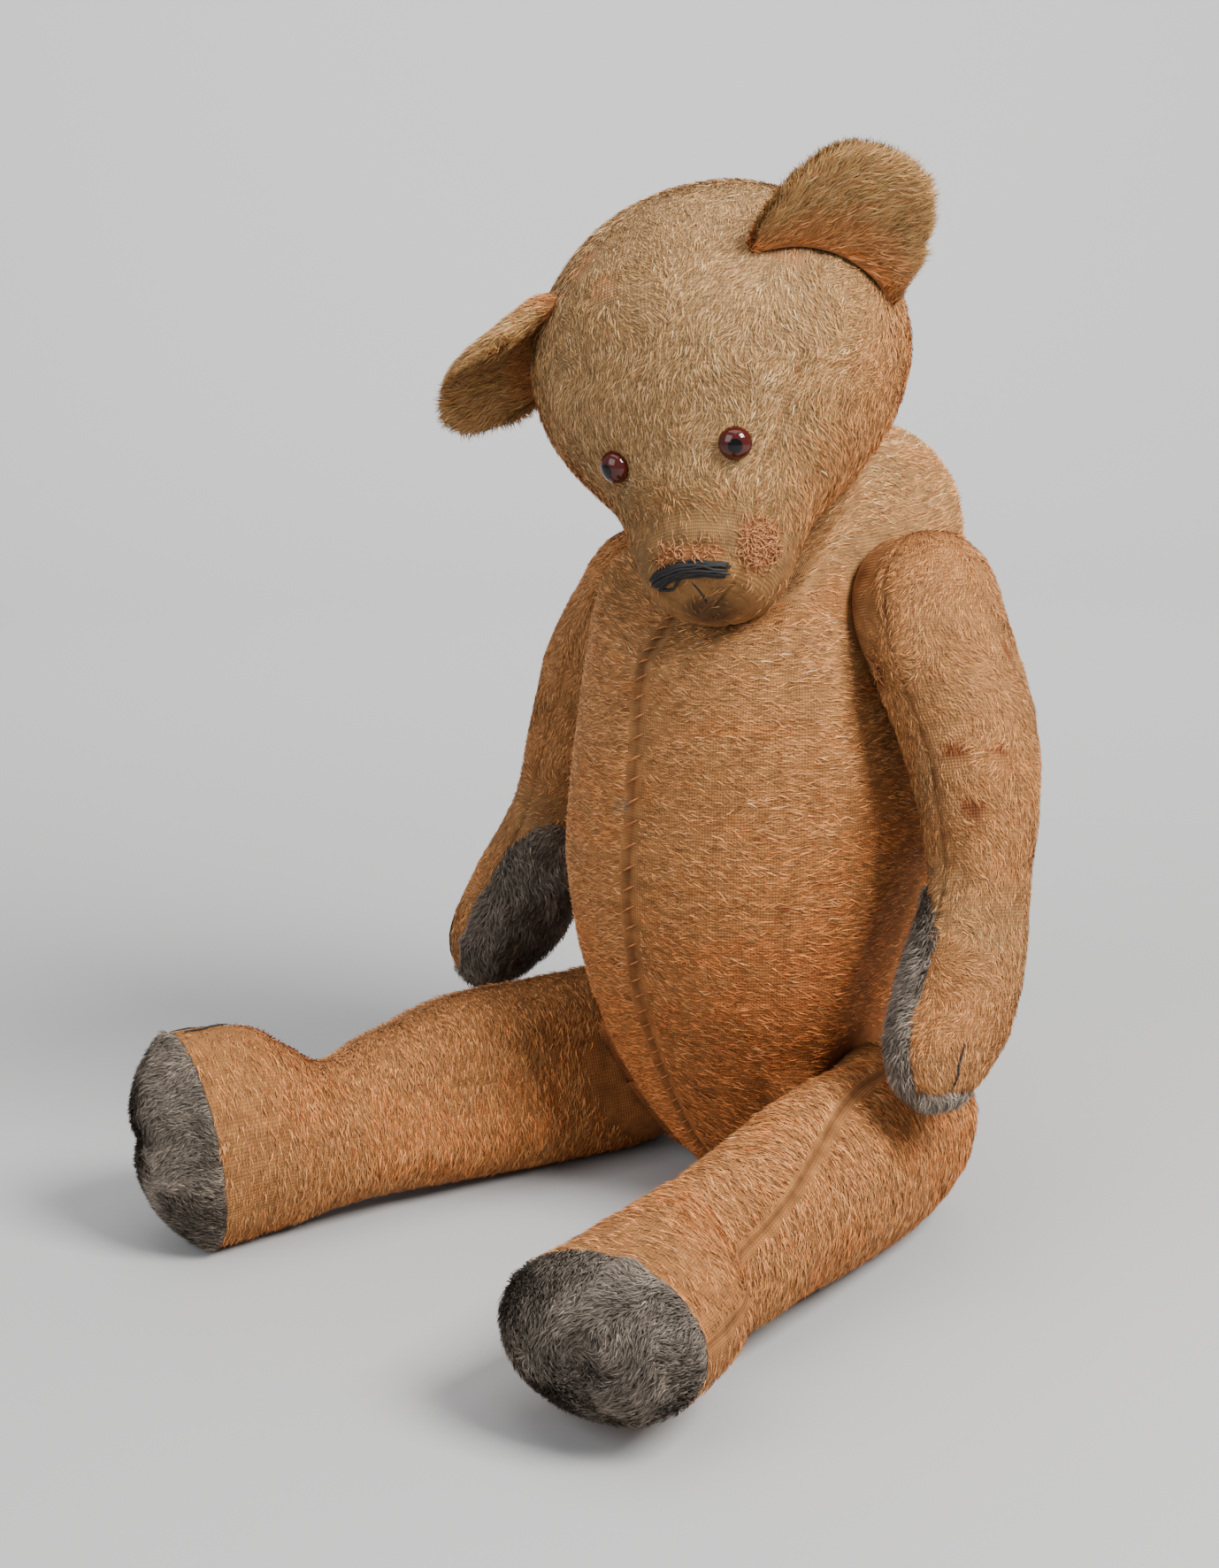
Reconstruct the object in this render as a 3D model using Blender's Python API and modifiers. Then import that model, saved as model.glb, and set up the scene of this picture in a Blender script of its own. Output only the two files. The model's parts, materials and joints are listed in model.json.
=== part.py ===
"""A seated mohair teddy bear with five disc joints, as separate panels, stuffing and joint hardware.

Units are metres and +Z is up. The bear faces -Y, so its left side is +X. Every limb is modelled
hanging down from its own joint, in a frame whose origin and X axis lie on the joint's axis, and an
empty turns it into the seated pose. Lengths below are in millimetres and are scaled by MM when used.
"""

import math

import bmesh
import bpy
from mathutils import Matrix, Vector

MM = 0.001

# Cloth, seams and clearances
CLOTH = 1.3
GAP = 0.3
SEAM_TRIM = 0.6
CORNER_TRIM = 1.8
STUFFING_INSET = 4.6

# Sections: (distance along the body, centre offset, half width, half depth)
TORSO_BASE_HOLE = (0, 4, 3, 3)
TORSO_SECTIONS = (
    (0, 4, 24, 23),
    (12, 3, 35, 34),
    (36, 0, 49, 49),
    (66, -2, 62, 62),
    (100, -3, 71, 72),
    (140, -2, 75, 76),
    (185, 3, 72, 77),
    (225, 9, 67, 77),
    (256, 15, 63, 72),
    (280, 21, 51, 61),
    (295, 26, 30, 38),
    (301, 28, 3, 4),
)
HEAD_SECTIONS = (
    (-61, 0, 4, 4),
    (-58, 0, 22, 20),
    (-48, 0, 42, 36),
    (-30, 0, 60, 52),
    (-6, 0, 70, 60),
    (16, 0, 69, 59),
    (34, -2, 61, 51),
    (48, -5, 49, 42),
    (60, -8, 38, 34),
    (74, -11, 31, 29),
    (88, -13, 26, 25),
    (97, -13, 19, 18),
    (101, -13, 4, 4),
)
ARM_SECTIONS = (
    (-27, 0, 3, 4),
    (-24, 0, 11, 13),
    (-14, 0, 19, 23),
    (4, 0, 23, 28),
    (30, 0, 25.5, 28.5),
    (50, 1, 24, 26),
    (74, 1, 20.5, 23),
    (102, 1, 18, 20),
    (130, -3, 20.5, 23.5),
    (155, -9, 20.5, 24),
    (171, -14, 15, 18),
    (179, -16, 7, 9),
    (181, -17, 3, 4),
)
LEG_SECTIONS = (
    (-37, 0, 4, 5),
    (-33, 0, 14, 17),
    (-21, 0, 23, 29),
    (4, 0, 28, 37),
    (40, -1, 30, 37.5),
    (84, -2, 30, 36),
    (118, 1, 29, 31),
    (139, 4, 28, 28),
    (153, 0, 28, 33.5),
    (165, -4, 28.5, 39),
    (180, -5, 29, 41),
    (196, -5, 29, 42),
)

# Sides of each body's outer surface, and of the stuffing inside it
TORSO_SIDES, TORSO_STUFFING_SIDES = 24, 16
HEAD_SIDES, HEAD_STUFFING_SIDES = 20, 14
LIMB_SIDES, LIMB_STUFFING_SIDES = 14, 14
GUSSET_HALF_SIDES = 3

# Paws and feet
PAW_PAD_FROM = 102
SOLE_TILT = 2
SOLE_TILT_FROM = 130
SOLE_BULGE = 19
SOLE_RINGS = (1.0, 0.78, 0.45)

# Joints: where each joint's plane meets its axis, and how the axis leans
NECK = Vector((0, 11, 286))
NECK_LEAN = 38
HEAD_PITCH = 53
HEAD_TURN = 21
HEAD_HEIGHT = 56
SHOULDER = {"left": Vector((53, 11, 234)), "right": Vector((55, 11, 220))}
SHOULDER_LEAN = {"left": 15.5, "right": 20}
ARM_SWING = {"left": 13, "right": 8}
ARM_BOW = {"left": 14, "right": 4}
ARM_FLAT = 19.5
HIP = Vector((45, -11))
HIP_LEAN = 16
LEG_SPLAY = {"left": 8, "right": 16}
LEG_TWIST = {"left": 64, "right": 0}
LEG_TWIST_FROM = 30
LEG_FLAT = 25
FLOOR_GAP = 0.3

# Joint hardware
DISC_RADIUS = {"neck": 22, "shoulder": 17, "hip": 21}
DISC_THICKNESS = 3
DISC_BORE = 2.4
DISC_SIDES = 18
DISC_SLACK = 0.5
RECESS_MARGIN, RECESS_GAP = 0.6, 0.4
HOLE_MARGIN, CUT_THROUGH = 0.2, 1.3
WASHER_RADIUS = 7.5
WASHER_THICKNESS = 1
WASHER_SIDES = 12
PRESSED_MARGIN = {"torso": 13, "limb": 8}
PRESSED_REACH = 14
THIGH_LENGTH = 125
PIN_WIRE = 0.8
PIN_EYE = 3.2
PIN_CURL = 3.0
PIN_SPACING = 0.95
PIN_EYE_LIFT, PIN_CURL_DROP = 0.6, 1.4
PIN_CURL_END = 375
PIN_POCKETS = {"torso": (8.8, 6.4), "limb": (4.8, 9.4)}

# Face and ears, in the head's frame: X to its left, Y backwards, Z up
EYE_ANGLE, EYE_FORWARD, EYE_LIFT = 35.5, 57, 0.6
EYE_RADIUS, EYE_HEIGHT, EYE_RIM = 6, 5, 0.8
EYE_RECESS, EYE_RECESS_DEPTH, EYE_RECESS_TOP = 7, 1.1, 12
EYE_HOLE, EYE_HOLE_DEPTH = 2.4, 12.5
SURFACE_STEP = 4
SHANK_WIRE, SHANK_FROM, SHANK_LENGTH, SHANK_WIDTH = 0.4, 1.6, 9, 2.4
STITCH_LIFT = 1.2
NOSE_FORWARD, NOSE_HALF_ANGLE, NOSE_THREAD = 94, 44, 2.6
MOUTH_FROM, MOUTH_TO, MOUTH_THREAD = 98.5, 100.6, 0.8
EAR_MIDDLE, EAR_HALF_SPAN = 60, 28
EAR_HEIGHT = {"left": 38, "right": 43}
EAR_CUP, EAR_LIFT, EAR_FOOT = 9, 1.6, 2.4
EAR_LEAN = {"left": Vector((0.72, 0.44, 0.54)), "right": Vector((0.84, -0.54, 0.02))}
EAR_ACROSS, EAR_UP = 7, 4
EAR_ROUNDNESS, EAR_LEAST_HEIGHT = 0.97, 1

SIDES = {"left": 1, "right": -1}

COLOURS = {
    "head_mohair": ((0.42, 0.27, 0.14), 0.9, 0.0),
    "body_mohair": ((0.45, 0.24, 0.09), 0.9, 0.0),
    "limb_mohair": ((0.48, 0.25, 0.09), 0.9, 0.0),
    "ear_mohair": ((0.46, 0.32, 0.15), 0.9, 0.0),
    "grey_plush": ((0.16, 0.15, 0.14), 0.95, 0.0),
    "wood_wool": ((0.62, 0.36, 0.2), 0.9, 0.0),
    "hardboard": ((0.26, 0.17, 0.1), 0.8, 0.0),
    "steel": ((0.55, 0.55, 0.53), 0.4, 1.0),
    "brown_glass": ((0.12, 0.015, 0.01), 0.08, 0.0),
    "black_thread": ((0.012, 0.012, 0.012), 0.7, 0.0),
}


def clear_scene():
    for obj in list(bpy.data.objects):
        bpy.data.objects.remove(obj, do_unlink=True)


def new_collection(name):
    collection = bpy.data.collections.new(name)
    bpy.context.scene.collection.children.link(collection)
    return collection


def material(name):
    """The named Principled material, made the first time it is asked for."""
    found = bpy.data.materials.get(name)
    if found:
        return found
    colour, roughness, metallic = COLOURS[name]
    made = bpy.data.materials.new(name)
    made.use_nodes = True
    shader = made.node_tree.nodes["Principled BSDF"]
    shader.inputs["Base Color"].default_value = (*colour, 1)
    shader.inputs["Roughness"].default_value = roughness
    shader.inputs["Metallic"].default_value = metallic
    return made


def link(name, data, place, parent=None, looks=None, smooth=True):
    """A new object in the bear's collection, or a hidden cutter when it has no looks."""
    obj = bpy.data.objects.new(name, data)
    if looks:
        BEAR.objects.link(obj)
        data.materials.append(material(looks))
    else:
        CUTTERS.objects.link(obj)
        obj.hide_render = True
        obj.display_type = "WIRE"
    if smooth and hasattr(data, "shade_smooth"):
        data.shade_smooth()
        data.set_sharp_from_angle(angle=math.radians(40))
    obj.matrix_world = place
    if parent:
        obj.parent = parent
        obj.matrix_parent_inverse = parent.matrix_world.inverted()
    return obj


def mesh_of(name, points, faces):
    mesh = bpy.data.meshes.new(name)
    mesh.from_pydata([point * MM for point in points], [], faces)
    mesh.update()
    return mesh


# ---- Surfaces of revolution-like bodies, as rows of rings ----


def ring(section, sides, along, front):
    """One row round a body. Its first point is at the front, and it turns towards +X."""
    distance, offset, half_width, half_depth = section
    points = []
    for step in range(sides):
        angle = math.tau * step / sides
        across = Vector((half_width * math.sin(angle), 0, 0))
        depth = front * (half_depth * math.cos(angle))
        points.append(along * distance + front_offset(front, offset) + across + depth)
    return points


def front_offset(front, offset):
    """The centre offset is along +Y on an upright body, and along +Z on the head."""
    return Vector((0, abs(front.y) * offset, abs(front.z) * offset))


UP, DOWN = Vector((0, 0, 1)), Vector((0, 0, -1))
FRONT = Vector((0, -1, 0))


def pressed(points, flats):
    """The rows with every point past a joint's plane, or over its disc, moved onto that plane."""
    return [[press_point(point, flats) for point in row] for row in points]


def press_point(point, flats):
    for centre, normal, radius, reach in flats:
        height = (point - centre).dot(normal)
        sideways = ((point - centre) - normal * height).length
        over_disc = sideways < radius and height > -PRESSED_REACH
        if over_disc or (height > 0 and sideways < reach):
            point = point - normal * height
    return point


def torso_rows(sides, sections):
    return [ring(section, sides, UP, FRONT) for section in sections]


def head_rows(sides, sections):
    return [ring(section, sides, FRONT, UP) for section in sections]


def arm_rows(sides, sections, side, side_name):
    """Rows of an arm that bows outwards between its shoulder and its paw."""
    rows = [ring(section, sides, DOWN, FRONT) for section in sections]
    length = sections[-1][0]
    for section, row in zip(sections, rows):
        share = max(0, section[0]) / length
        bow = side * ARM_BOW[side_name] * math.sin(math.pi * share**0.8) ** 2
        for point in row:
            point.x += bow
    return rows


def leg_rows(sides, sections, side, side_name):
    """Rows of a leg whose sole leans and whose foot is twisted outwards."""
    rows = [ring(section, sides, DOWN, FRONT) for section in sections]
    length = sections[-1][0]
    slope = math.tan(math.radians(SOLE_TILT))
    for section, row in zip(sections, rows):
        leaning = max(0, (section[0] - SOLE_TILT_FROM) / (length - SOLE_TILT_FROM)) ** 2
        share = max(0, (section[0] - LEG_TWIST_FROM) / (length - LEG_TWIST_FROM))
        twist = degrees("Z", side * LEG_TWIST[side_name] * share * share * (3 - 2 * share))
        for k, point in enumerate(row):
            lift = slope * leaning * (point.y - section[1])
            row[k] = twist @ (point + Vector((0, 0, lift)))
    return rows


def sole_rows(rim):
    """Rings of the domed sole, from the foot's rim to its middle."""
    middle = sum(rim, Vector()) / len(rim)
    quarter = len(rim) // 4
    outward = (rim[quarter] - middle).cross(rim[0] - middle).normalized()
    if outward.z > 0:
        outward = -outward
    rows = []
    for share in SOLE_RINGS:
        dome = outward * (SOLE_BULGE * (1 - share ** 3))
        rows.append([middle + (point - middle) * share + dome for point in rim])
    return rows, middle + outward * SOLE_BULGE


# ---- Panels and stuffing ----


def facing_out(mesh, inside):
    """Turns every face of an open surface away from a point inside the body."""
    body = bmesh.new()
    body.from_mesh(mesh)
    body.normal_update()
    votes = sum(face.normal.dot(face.calc_center_median() - inside) for face in body.faces)
    if votes < 0:
        bmesh.ops.reverse_faces(body, faces=body.faces)
    body.to_mesh(mesh)
    body.free()


def trimmed(rows, trims):
    """The rows with each edge drawn in by its trim: (first row, last row, first side, last side)."""
    first, last, left, right = trims
    rows = [list(row) for row in rows]
    for row in rows:
        row[0] = row[0] + (row[1] - row[0]).normalized() * left
        row[-1] = row[-1] + (row[-2] - row[-1]).normalized() * right
    for edge, inner, trim in ((0, 1, first), (-1, -2, last)):
        if trim:
            rows[edge] = [a + (b - a).normalized() * trim for a, b in zip(rows[edge], rows[inner])]
    return rows


def panel(name, rows, sides, looks, parent, trims=(0, 0, SEAM_TRIM, SEAM_TRIM)):
    """A cloth panel over the given sides of the rows, thickened inwards."""
    count = len(rows[0])
    patch = trimmed([[row[side % count] for side in sides] for row in rows], trims)
    width = len(sides)
    points = [point for row in patch for point in row]
    faces = []
    for i in range(len(patch) - 1):
        for j in range(width - 1):
            corner = i * width + j
            faces.append((corner, corner + 1, corner + width + 1, corner + width))
    mesh = mesh_of(name, points, faces)
    middle = sum((point for row in rows for point in row), Vector()) / (count * len(rows))
    facing_out(mesh, middle * MM)
    return thickened(link(name, mesh, parent.matrix_world, parent, looks))


def sole_panel(name, rows, tip, looks, parent):
    points = [point for row in rows for point in row] + [tip]
    count = len(rows[0])
    faces = []
    for i in range(len(rows) - 1):
        for j in range(count):
            k = (j + 1) % count
            faces.append((i * count + j, i * count + k, (i + 1) * count + k, (i + 1) * count + j))
    last = (len(rows) - 1) * count
    faces += [(last + j, last + (j + 1) % count, len(points) - 1) for j in range(count)]
    mesh = mesh_of(name, points, faces)
    facing_out(mesh, Vector((0, 0, 0)))
    return thickened(link(name, mesh, parent.matrix_world, parent, looks))


def thickened(obj):
    solidify = obj.modifiers.new("cloth", "SOLIDIFY")
    solidify.thickness = CLOTH * MM
    solidify.offset = -1
    solidify.use_even_offset = True
    return obj


def stuffing(name, rows, parent):
    """The firm filling of one body: its closed surface, shrunk away from the cloth."""
    count = len(rows[0])
    points = [point for row in rows for point in row]
    faces = []
    for i in range(len(rows) - 1):
        for j in range(count):
            k = (j + 1) % count
            faces.append((i * count + j, i * count + k, (i + 1) * count + k, (i + 1) * count + j))
    faces.append(tuple(range(count)))
    faces.append(tuple(range(len(points) - count, len(points))))
    mesh = mesh_of(name, points, faces)
    body = bmesh.new()
    body.from_mesh(mesh)
    bmesh.ops.recalc_face_normals(body, faces=body.faces)
    bmesh.ops.triangulate(body, faces=[face for face in body.faces if len(face.verts) > 4])
    body.to_mesh(mesh)
    body.free()
    obj = link(name, mesh, parent.matrix_world, parent, "wood_wool")
    shrink = obj.modifiers.new("shrink", "DISPLACE")
    shrink.direction = "NORMAL"
    shrink.mid_level = 0
    shrink.strength = -STUFFING_INSET * MM
    return obj


def cut(targets, cutter):
    for target in targets:
        boolean = target.modifiers.new(cutter.name, "BOOLEAN")
        boolean.operation = "DIFFERENCE"
        boolean.solver = "EXACT"
        boolean.object = cutter


# ---- Turned pieces and wires ----


def turned(name, profile, place, steps, looks=None, parent=None, loop=True):
    """A profile of (radius, height) points, outer side from top to bottom, turned round Z."""
    points = [Vector((radius, 0, height)) * MM for radius, height in profile]
    edges = [(i, i + 1) for i in range(len(points) - 1)]
    if loop:
        edges.append((len(points) - 1, 0))
    mesh = bpy.data.meshes.new(name)
    mesh.from_pydata(points, edges, [])
    obj = link(name, mesh, place, parent, looks, smooth=False)
    screw = obj.modifiers.new("turn", "SCREW")
    screw.axis = "Z"
    screw.steps = steps
    screw.render_steps = steps
    screw.use_merge_vertices = True
    screw.merge_threshold = 0.00005
    screw.use_smooth_shade = True
    return obj


def plate(name, radius, levels, place, steps, looks, parent):
    """A round plate with a hole, between two levels along the frame's Z."""
    lower, upper = levels
    profile = ((DISC_BORE, upper), (radius, upper), (radius, lower), (DISC_BORE, lower))
    return turned(name, profile, place, steps, looks, parent)


def wire(name, points, radius, place, looks, parent):
    curve = bpy.data.curves.new(name, "CURVE")
    curve.dimensions = "3D"
    curve.bevel_depth = radius * MM
    curve.bevel_resolution = 1
    curve.use_fill_caps = True
    spline = curve.splines.new("POLY")
    spline.points.add(len(points) - 1)
    for spot, point in zip(spline.points, points):
        spot.co = (*(point * MM), 1)
    obj = link(name, curve, place, parent, looks)
    return obj


def arc(centre, radius, start, stop, steps):
    """Points in the XZ plane, at angles measured from +X towards +Z, in degrees."""
    points = []
    for step in range(steps + 1):
        angle = math.radians(start + (stop - start) * step / steps)
        points.append(centre + Vector((math.cos(angle), 0, math.sin(angle))) * radius)
    return points


DISC_FROM = GAP + CLOTH + DISC_SLACK
DISC_TO = DISC_FROM + DISC_THICKNESS
WASHER_FROM = DISC_TO + GAP
WASHER_TO = WASHER_FROM + WASHER_THICKNESS
PIN_FROM = WASHER_TO + GAP + PIN_WIRE


def cotter_pin(name, place, parent):
    """One wire: a round eye on the limb's side and two curled legs inside the torso."""
    eye_middle = Vector((0, 0, PIN_FROM + PIN_EYE + PIN_EYE_LIFT))
    opening = math.degrees(math.asin(PIN_SPACING / PIN_EYE))
    eye = arc(eye_middle, PIN_EYE, -90 + opening, 270 - opening, 9)
    curl_middle = Vector((PIN_SPACING + PIN_CURL, 0, -(PIN_FROM + PIN_CURL_DROP)))
    right_leg = arc(curl_middle, PIN_CURL, 180, PIN_CURL_END, 6)
    left_leg = [Vector((-point.x, 0, point.z)) for point in right_leg]
    return wire(name, right_leg[::-1] + eye + left_leg, PIN_WIRE, place, "steel", parent)


def disc_joint(name, inner, outer, place, radius, torso, limb):
    """Discs, washers and cotter pin of one joint. Its frame's +Z points out of the torso."""
    for side, words, parent in ((-1, inner, torso), (1, outer, limb)):
        disc = sorted((side * DISC_FROM, side * DISC_TO))
        washer = sorted((side * WASHER_FROM, side * WASHER_TO))
        start = f"{name}_{words}"
        plate(f"{start}_disc", radius, disc, place, DISC_SIDES, "hardboard", parent)
        plate(f"{start}_washer", WASHER_RADIUS, washer, place, WASHER_SIDES, "steel", parent)
    cotter_pin(f"{name}_cotter_pin", place, torso)


def joint_cutter(name, place, radius, inside):
    """A stepped round cutter: the pin's hole through the cloth, the disc's recess and the pin's pocket."""
    pocket, depth = PIN_POCKETS["torso" if inside else "limb"]
    heights = (-CUT_THROUGH, DISC_FROM - RECESS_GAP, WASHER_TO + GAP, PIN_FROM + depth)
    radii = (DISC_BORE + HOLE_MARGIN, radius + RECESS_MARGIN, pocket)
    profile = [(0, heights[3])]
    for radius_here, upper, lower in zip(radii[::-1], heights[:0:-1], heights[-2::-1]):
        profile += [(radius_here, upper), (radius_here, lower)]
    profile.append((0, heights[0]))
    if inside:
        profile = [(across, -height) for across, height in profile[::-1]]
    return turned(name, profile, place, DISC_SIDES, loop=False)


# ---- Frames ----


def degrees(axis, angle):
    return Matrix.Rotation(math.radians(angle), 4, axis)


def mirrored(matrix, side):
    if side > 0:
        return matrix
    flip = Matrix.Scale(-1, 4, Vector((1, 0, 0)))
    return flip @ matrix @ flip


def empty(name, matrix):
    obj = bpy.data.objects.new(name, None)
    BEAR.objects.link(obj)
    obj.empty_display_size = 20 * MM
    obj.matrix_world = matrix
    return obj


def at(point, rotation):
    return Matrix.Translation(point * MM) @ rotation


def facing(point, axis, rotation=Matrix.Identity(4)):
    """A frame at a point whose +Z is the given axis."""
    turn = axis.to_track_quat("Z", "Y").to_matrix().to_4x4()
    return Matrix.Translation(point * MM) @ turn @ rotation


def arm_rotation(side_name):
    return degrees("Y", -SHOULDER_LEAN[side_name]) @ degrees("X", -ARM_SWING[side_name])


def leg_rotation(side_name):
    return degrees("Z", LEG_SPLAY[side_name]) @ degrees("Y", HIP_LEAN) @ degrees("X", -90)


def leg_height(rotation, side_name):
    """The height of the leg's joint when the leg lies on the floor."""
    rows = leg_rows(LIMB_SIDES, LEG_SECTIONS, 1, side_name)
    sole, tip = sole_rows(rows[-1])
    lowest = min((rotation @ point).z for row in rows + sole for point in row)
    return FLOOR_GAP - lowest


def limb_joints():
    """Each arm's and leg's (kind, side name, plane point, axis, pivot, rotation), for both sides."""
    joints = []
    for side_name, side in SIDES.items():
        across = Vector((side, 1, 1))
        rotation = arm_rotation(side_name)
        axis = (rotation @ Vector((1, 0, 0))) * across
        centre = SHOULDER[side_name] * across
        pivot = centre + axis * (GAP + ARM_FLAT)
        joints.append(("shoulder", side_name, centre, axis, pivot, mirrored(rotation, side)))
        rotation = leg_rotation(side_name)
        axis = (rotation @ Vector((1, 0, 0))) * across
        height = leg_height(rotation, side_name) - axis.z * (GAP + LEG_FLAT)
        centre = Vector((side * HIP.x, HIP.y, height))
        pivot = centre + axis * (GAP + LEG_FLAT)
        joints.append(("hip", side_name, centre, axis, pivot, mirrored(rotation, side)))
    return joints


# ---- Bodies ----


def build_torso(torso, joints):
    flats = []
    neck_axis = degrees("X", NECK_LEAN) @ UP
    margin = PRESSED_MARGIN["torso"]
    flats.append((NECK - neck_axis * GAP, neck_axis, DISC_RADIUS["neck"] + margin, math.inf))
    for kind, _, centre, axis, _, _ in joints:
        flats.append((centre - axis * GAP, axis, DISC_RADIUS[kind] + margin, math.inf))
    base = (TORSO_BASE_HOLE,)
    rows = pressed(torso_rows(TORSO_SIDES, base + TORSO_SECTIONS), flats)
    half = TORSO_SIDES // 2
    panels = {
        "left": panel("torso_left_panel", rows, range(half + 1), "body_mohair", torso),
        "right": panel("torso_right_panel", rows, range(half, TORSO_SIDES + 1), "body_mohair", torso),
    }
    filling = stuffing(
        "torso_stuffing", pressed(torso_rows(TORSO_STUFFING_SIDES, TORSO_SECTIONS), flats), torso
    )
    return panels, filling


def build_limb(body, side_name, kind):
    side = SIDES[side_name]
    is_leg = kind == "hip"
    sections, flat = (LEG_SECTIONS, LEG_FLAT) if is_leg else (ARM_SECTIONS, ARM_FLAT)
    name = f"{side_name}_{'leg' if is_leg else 'arm'}"
    inward = Vector((-side, 0, 0))
    reach = THIGH_LENGTH if is_leg else math.inf
    flats = [(inward * flat, inward, DISC_RADIUS[kind] + PRESSED_MARGIN["limb"], reach)]
    limb_rows = leg_rows if is_leg else arm_rows
    rows = pressed(limb_rows(LIMB_SIDES, sections, side, side_name), flats)
    half = LIMB_SIDES // 2
    halves = {1: range(half + 1), -1: range(half, LIMB_SIDES + 1)}
    outer, inner = halves[side], halves[-side]
    if is_leg:
        trims = (0, CORNER_TRIM, SEAM_TRIM, SEAM_TRIM)
        pieces = [
            panel(f"{name}_outer_panel", rows, outer, "limb_mohair", body, trims),
            panel(f"{name}_inner_panel", rows, inner, "limb_mohair", body, trims),
        ]
        domed, tip = sole_rows(rows[-1])
        sole_panel(f"{side_name}_foot_pad", domed, tip, "grey_plush", body)
    else:
        pad = [section[0] for section in sections].index(PAW_PAD_FROM)
        seam = (0, SEAM_TRIM, SEAM_TRIM, SEAM_TRIM)
        pieces = [
            panel(f"{name}_outer_panel", rows, outer, "limb_mohair", body),
            panel(f"{name}_inner_panel", rows[: pad + 1], inner, "limb_mohair", body, seam),
        ]
        seam = (SEAM_TRIM, 0, SEAM_TRIM, SEAM_TRIM)
        panel(f"{side_name}_paw_pad", rows[pad:], inner, "grey_plush", body, seam)
    filling_rows = pressed(limb_rows(LIMB_STUFFING_SIDES, sections, side, side_name), flats)
    return pieces, stuffing(f"{name}_stuffing", filling_rows, body)


def build_head(head):
    down = degrees("X", NECK_LEAN - HEAD_PITCH) @ DOWN
    radius = DISC_RADIUS["neck"] + PRESSED_MARGIN["limb"]
    flats = [(down * HEAD_HEIGHT, down, radius, math.inf)]
    rows = pressed(head_rows(HEAD_SIDES, HEAD_SECTIONS), flats)
    half = HEAD_SIDES // 2
    gusset = range(-GUSSET_HALF_SIDES, GUSSET_HALF_SIDES + 1)
    left = range(GUSSET_HALF_SIDES, half + 1)
    right = range(half, HEAD_SIDES - GUSSET_HALF_SIDES + 1)
    pieces = {
        "gusset": panel("head_gusset", rows, gusset, "head_mohair", head),
        "left": panel("head_left_side", rows, left, "head_mohair", head),
        "right": panel("head_right_side", rows, right, "head_mohair", head),
    }
    sections = HEAD_SECTIONS[::2]
    filling = stuffing("head_stuffing", pressed(head_rows(HEAD_STUFFING_SIDES, sections), flats), head)
    return pieces, filling


def head_surface(forward, angle, lift=0):
    """A point over the head's cloth, at an angle from its top towards +X, lifted off the cloth."""
    for near, far in zip(HEAD_SECTIONS, HEAD_SECTIONS[1:]):
        if near[0] <= forward <= far[0]:
            share = (forward - near[0]) / (far[0] - near[0])
            _, offset, width, depth = (a + (b - a) * share for a, b in zip(near, far))
            turn = math.radians(angle)
            return Vector(
                ((width + lift) * math.sin(turn), -forward, offset + (depth + lift) * math.cos(turn))
            )
    raise ValueError("forward is off the head")


def eye_place(side):
    """A frame on the head's cloth at one eye, with +Z out of the head."""
    spot = head_surface(EYE_FORWARD, EYE_ANGLE)
    along = head_surface(EYE_FORWARD + SURFACE_STEP, EYE_ANGLE) - spot
    around = head_surface(EYE_FORWARD, EYE_ANGLE + SURFACE_STEP) - spot
    outward = around.cross(along).normalized()
    if outward.dot(spot) < 0:
        outward = -outward
    across = Vector((side, 1, 1))
    return facing((spot + outward * EYE_LIFT) * across, outward * across)


def build_eyes(head, covers, filling):
    for side_name, side in SIDES.items():
        place = head.matrix_world @ eye_place(side)
        dome = [(0, EYE_HEIGHT)]
        for step in range(1, 4):
            angle = math.radians(30 * step)
            dome.append((EYE_RADIUS * math.sin(angle), EYE_HEIGHT * math.cos(angle)))
        profile = dome + [(EYE_RADIUS - EYE_RIM, -EYE_RIM), (0, -EYE_RIM)]
        turned(f"{side_name}_glass_eye", profile, place, 14, "brown_glass", head, loop=False)
        bend = [Vector((SHANK_WIDTH / 2, 0, -SHANK_FROM))]
        bend += arc(Vector((0, 0, -SHANK_LENGTH)), SHANK_WIDTH / 2, 0, -180, 4)
        bend.append(Vector((-SHANK_WIDTH / 2, 0, -SHANK_FROM)))
        wire(f"{side_name}_eye_wire_loop", bend, SHANK_WIRE, place, "steel", head)
        hole = (
            (0, EYE_RECESS_TOP),
            (EYE_RECESS, EYE_RECESS_TOP),
            (EYE_RECESS, -EYE_RECESS_DEPTH),
            (EYE_HOLE, -EYE_RECESS_DEPTH),
            (EYE_HOLE, -EYE_HOLE_DEPTH),
            (0, -EYE_HOLE_DEPTH),
        )
        cutter = turned(f"cut_{side_name}_eye", hole, place, 12, loop=False)
        cut([covers["gusset"], covers[side_name], filling], cutter)


def build_stitches(head):
    nose = []
    for step in range(-4, 5):
        angle = NOSE_HALF_ANGLE * step / 4
        nose.append(head_surface(NOSE_FORWARD, angle, NOSE_THREAD + STITCH_LIFT))
    wire("nose_stitch", nose, NOSE_THREAD, head.matrix_world, "black_thread", head)
    mouth = []
    for step in range(5):
        share = step / 4
        forward = MOUTH_FROM + (MOUTH_TO - MOUTH_FROM) * math.sin(math.pi * share)
        point = head_surface(forward, 180 * share, MOUTH_THREAD)
        mouth.append(point + FRONT * (MOUTH_THREAD + STITCH_LIFT))
    wire("mouth_stitch", mouth[1:], MOUTH_THREAD, head.matrix_world, "black_thread", head)


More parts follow.
